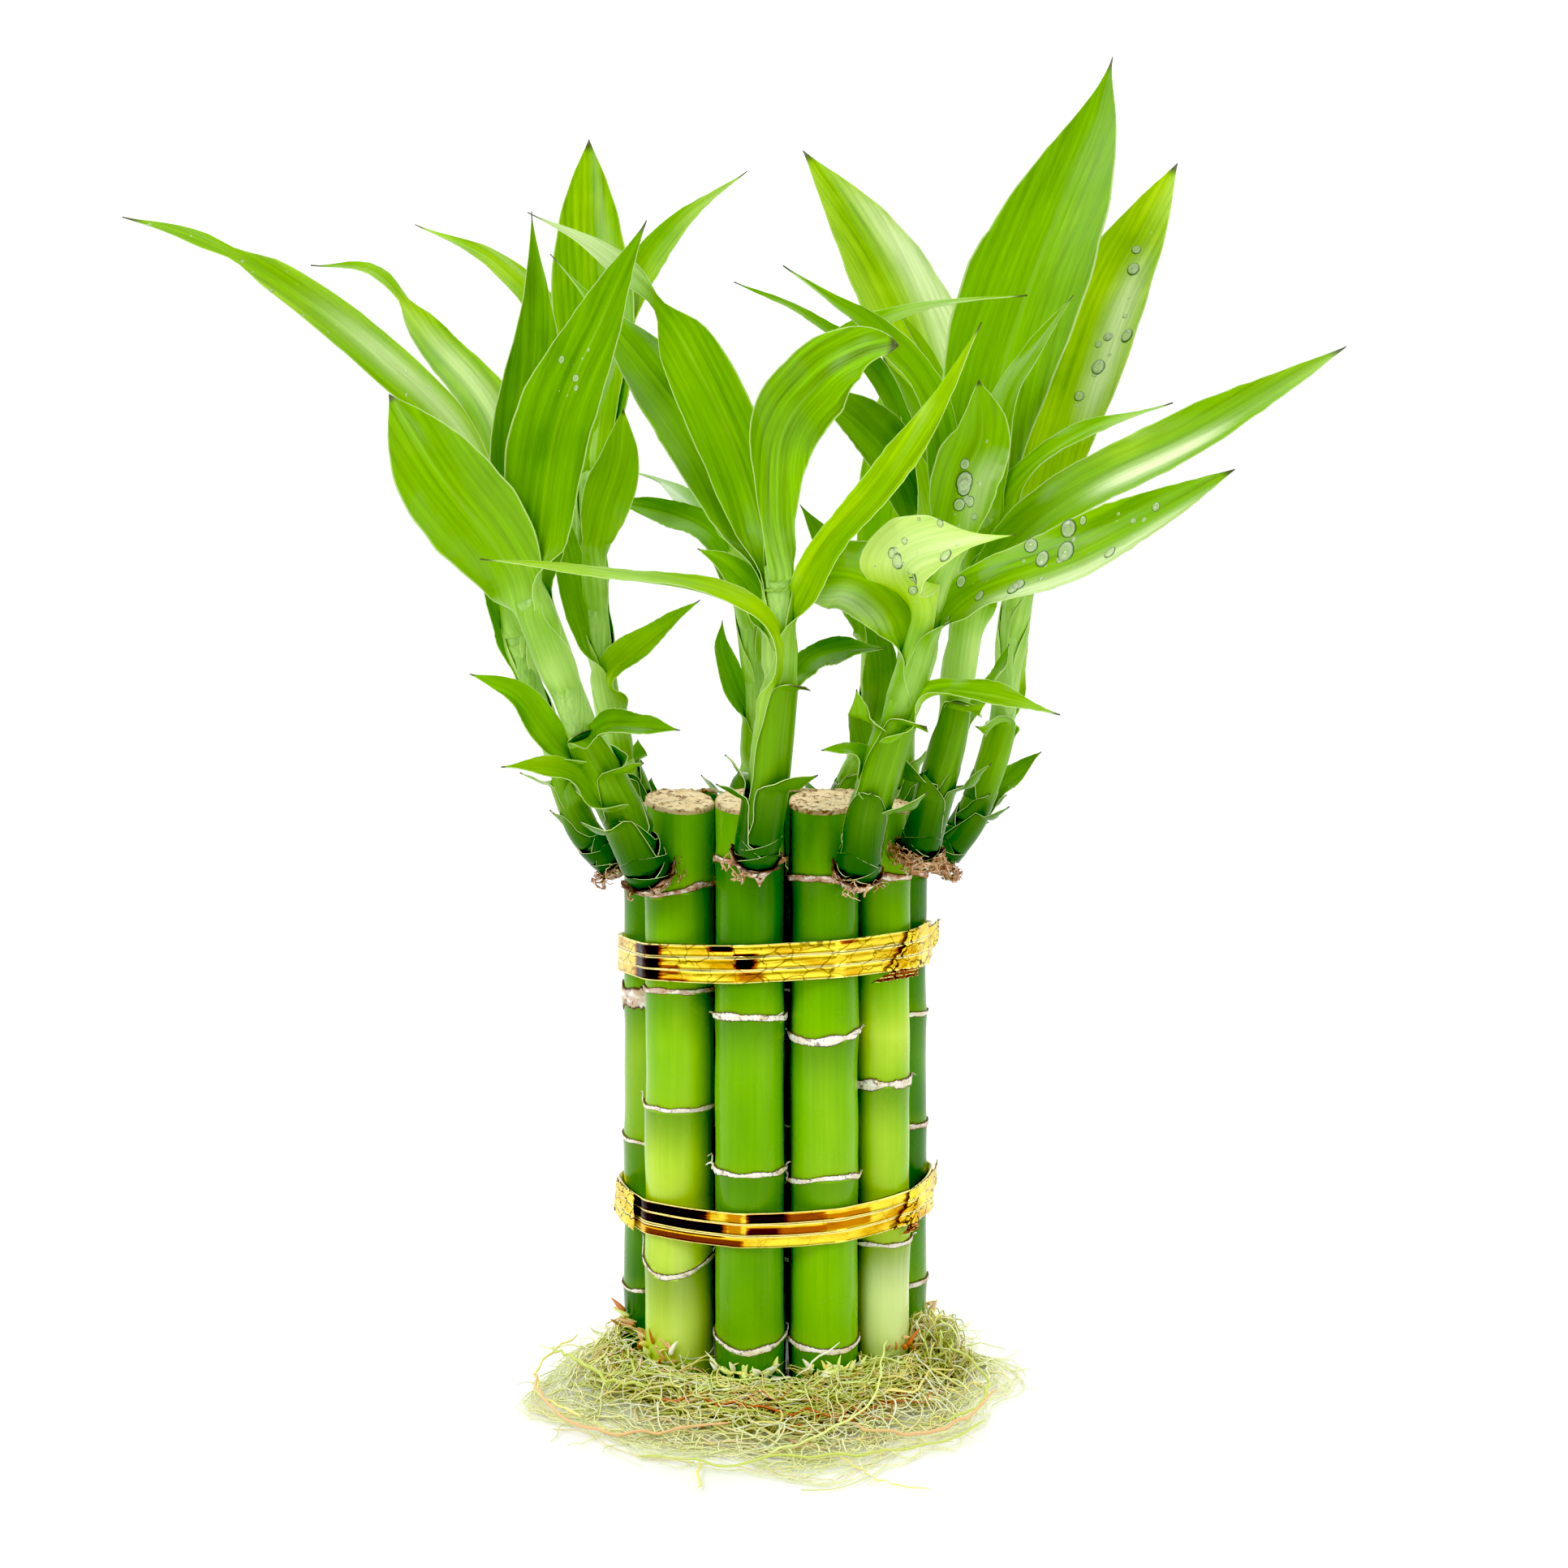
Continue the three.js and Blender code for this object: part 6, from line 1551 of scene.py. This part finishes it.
def curlParts(seed, count):  # short fine roots that turn every way
    random = np.random.default_rng(seed)
    inner = nestForm["inner"] + 1
    parts = []
    for _ in range(count):
        angle = random.normal(0, 1.05)
        reach = inner + (nestReach(angle) - nestForm["inner"] - 1) * random.uniform(0, 1) ** 2.4
        place = np.array([math.sin(angle), -math.cos(angle)]) * reach
        heading, turn, lift = random.uniform(0, 2 * math.pi), random.normal(0, 0.3), random.uniform(0.1, 1.1)
        points = []
        for step in range(nestForm["curlSteps"]):
            angle, reach = math.atan2(place[0], -place[1]), math.hypot(*place)
            height = 0.3 + lift * float(heapHeight(angle, reach)) + 0.7 * math.sin(step * 0.8 + lift * 9)
            points.append((place[0], place[1], height))
            turn = turn * 0.85 + random.normal(0, 0.16)
            heading += turn
            place = place + np.array([math.cos(heading), math.sin(heading)]) * nestForm["curlStep"]
        # painted light that washes the outer strands pale
        far = smooth(reach, nestForm["inner"] + 8, float(nestReach(angle)) + 2)
        # painted shade on strands that lie low in the heap
        deep = (1 - smooth(lift, 0.2, 0.6)) * (1 - far)
        parts.append(thread(np.array(points), random.uniform(*nestForm["fine"]),
                            rootTone=random.uniform(0, 0.95), rootPale=far, rootDeep=deep))
    return joinParts(parts)


def tuftParts():  # a higher tangle at the foot of the two right-hand canes
    random = np.random.default_rng(17)
    centre, size = np.array(nestForm["tuftPlace"]), np.array(nestForm["tuftSize"])
    parts = []
    for _ in range(nestForm["tuft"]):
        depth = random.uniform(0.3, 1)
        place = unit(random.normal(0, 1, 3)) * depth * size
        heading = unit(random.normal(0, 1, 3))
        turning = random.normal(0, 0.5, 3)
        points = []
        for _ in range(nestForm["tuftSteps"]):
            points.append(centre + place)
            turning = turning * 0.7 + random.normal(0, 0.3, 3)
            heading = unit(heading + turning * 0.45)
            if np.linalg.norm(place / size) > 0.95:
                heading = unit(heading - unit(place) * 0.9)
            place = place + heading * nestForm["tuftStep"]
        # painted shade inside the tangle
        deep = 1 - smooth(depth, 0.45, 0.85)
        parts.append(thread(np.array(points), random.uniform(*nestForm["fine"]),
                            rootTone=random.uniform(0, 0.97), rootDeep=deep))
    return joinParts(parts)


def thickRootParts():
    parts = []
    for order, (radius, tone, *places) in enumerate(thickRoots):
        path = newPath(places)
        travel = np.linspace(0, 1, max(int(path["length"] / 1.6), 8))
        wave = [wander(travel * 9, 60 + order + axis * 20) for axis in range(3)]
        points = onPath(path, travel)[0] + 0.8 * np.stack(wave, 1)
        radii = radius * (0.75 + 0.3 * np.sin(travel * 3.1)) * (1 + 0.25 * wander(travel * 30, order))
        radii[[0, -1]] *= 0.4
        parts.append(tubeAlong(clearOfCanes(points), radii, 8, rootTone=tone))
    return joinParts(parts)


rootBuds = {
    "perCane": {1: 12, 2: 16, 3: 34, 4: 34, 5: 12, 6: 12, 7: 6, 8: 6, 9: 6, 10: 6},
    "tanOn": (1, 2, 5, 6),
    "radius": (0.3, 0.85),
    "length": (1.8, 4.2),
    "start": (7.5, 10.5),
    "tanStart": (8, 12.5),
    "taper": (0.8, 1, 0.98, 0.9, 0.78, 0.6, 0.38, 0.12),
}


def budParts():  # short new roots break out of the foot of each cane
    random = np.random.default_rng(23)
    parts = []
    for number, count in rootBuds["perCane"].items():
        cane = canes[number - 1]
        tan = number in rootBuds["tanOn"]
        for _ in range(count):
            turn = outwardTurn(cane) + random.uniform(-1.1, 1.1)
            away = np.array([math.cos(turn), math.sin(turn), 0])
            start = np.append(caneCentre(cane), random.uniform(*rootBuds["tanStart" if tan else "start"]))
            start = start + away * (cane["diameter"] / 2 + random.uniform(-0.3, 1.2))
            length = random.uniform(*rootBuds["length"]) * (1.3 if tan else 1)
            lean = away * random.uniform(0.1, 1.1) + np.array([0, 0, random.uniform(0.2, 1.0)])
            side = np.array([-away[1], away[0], 0]) * random.uniform(-1, 1)
            steps = np.linspace(0, 1, len(rootBuds["taper"]))[:, None]
            points = start + (lean * steps + side * steps**1.7) * length
            points = np.clip(points, nestForm["lowest"], nestForm["highest"])
            radii = random.uniform(*rootBuds["radius"]) * np.array(rootBuds["taper"])
            tone = random.uniform(0.93, 1) if tan and random.uniform() < 0.7 else random.uniform(0, 0.68)
            parts.append(tubeAlong(points, radii, 6, rootTone=tone))
    return joinParts(parts)


def rootMaterial():
    material, place = newMaterial("paleRoot")
    base = paintSteps(addValue("rootTone"), rootColours["whitest"], rootColours["others"])
    patch = addNoise(place, 90, 3)
    base = paint(base, addRange(patch, 0.5, 0.8, 0, 0.5), rootColours["patch"])
    # painted shade on strands that lie low and deep in the nest
    base = paint(base, times("rootDeep", 0.42), rootColours["deep"])
    # painted light: outer strands washed pale
    base = paint(base, times("rootPale", 0.6), rootColours["pale"])
    rough = addRange(patch, 0.3, 0.7, 0.45, 0.65)
    return finishMaterial(material, base, rough, (addNoise(place, 1500, 2), 0.3, 0.2))


def buildRoots():
    skin = rootMaterial()
    others = joinParts([sweepParts(7, nestForm["strays"], True), tuftParts(), thickRootParts(), budParts()])
    addPiece("root_nest_strands", sweepParts(5, nestForm["strands"]), skin, "root_nest")
    addPiece("root_nest_curls", curlParts(6, nestForm["curls"]), skin, "root_nest")
    addPiece("root_nest_tangle", others, skin, "root_nest")
    print("roots built:", nestForm["strands"] + nestForm["curls"] + nestForm["tuft"])


buildStudio()
buildFloor()
buildCanes()
buildShoots()
buildTies()
buildRoots()
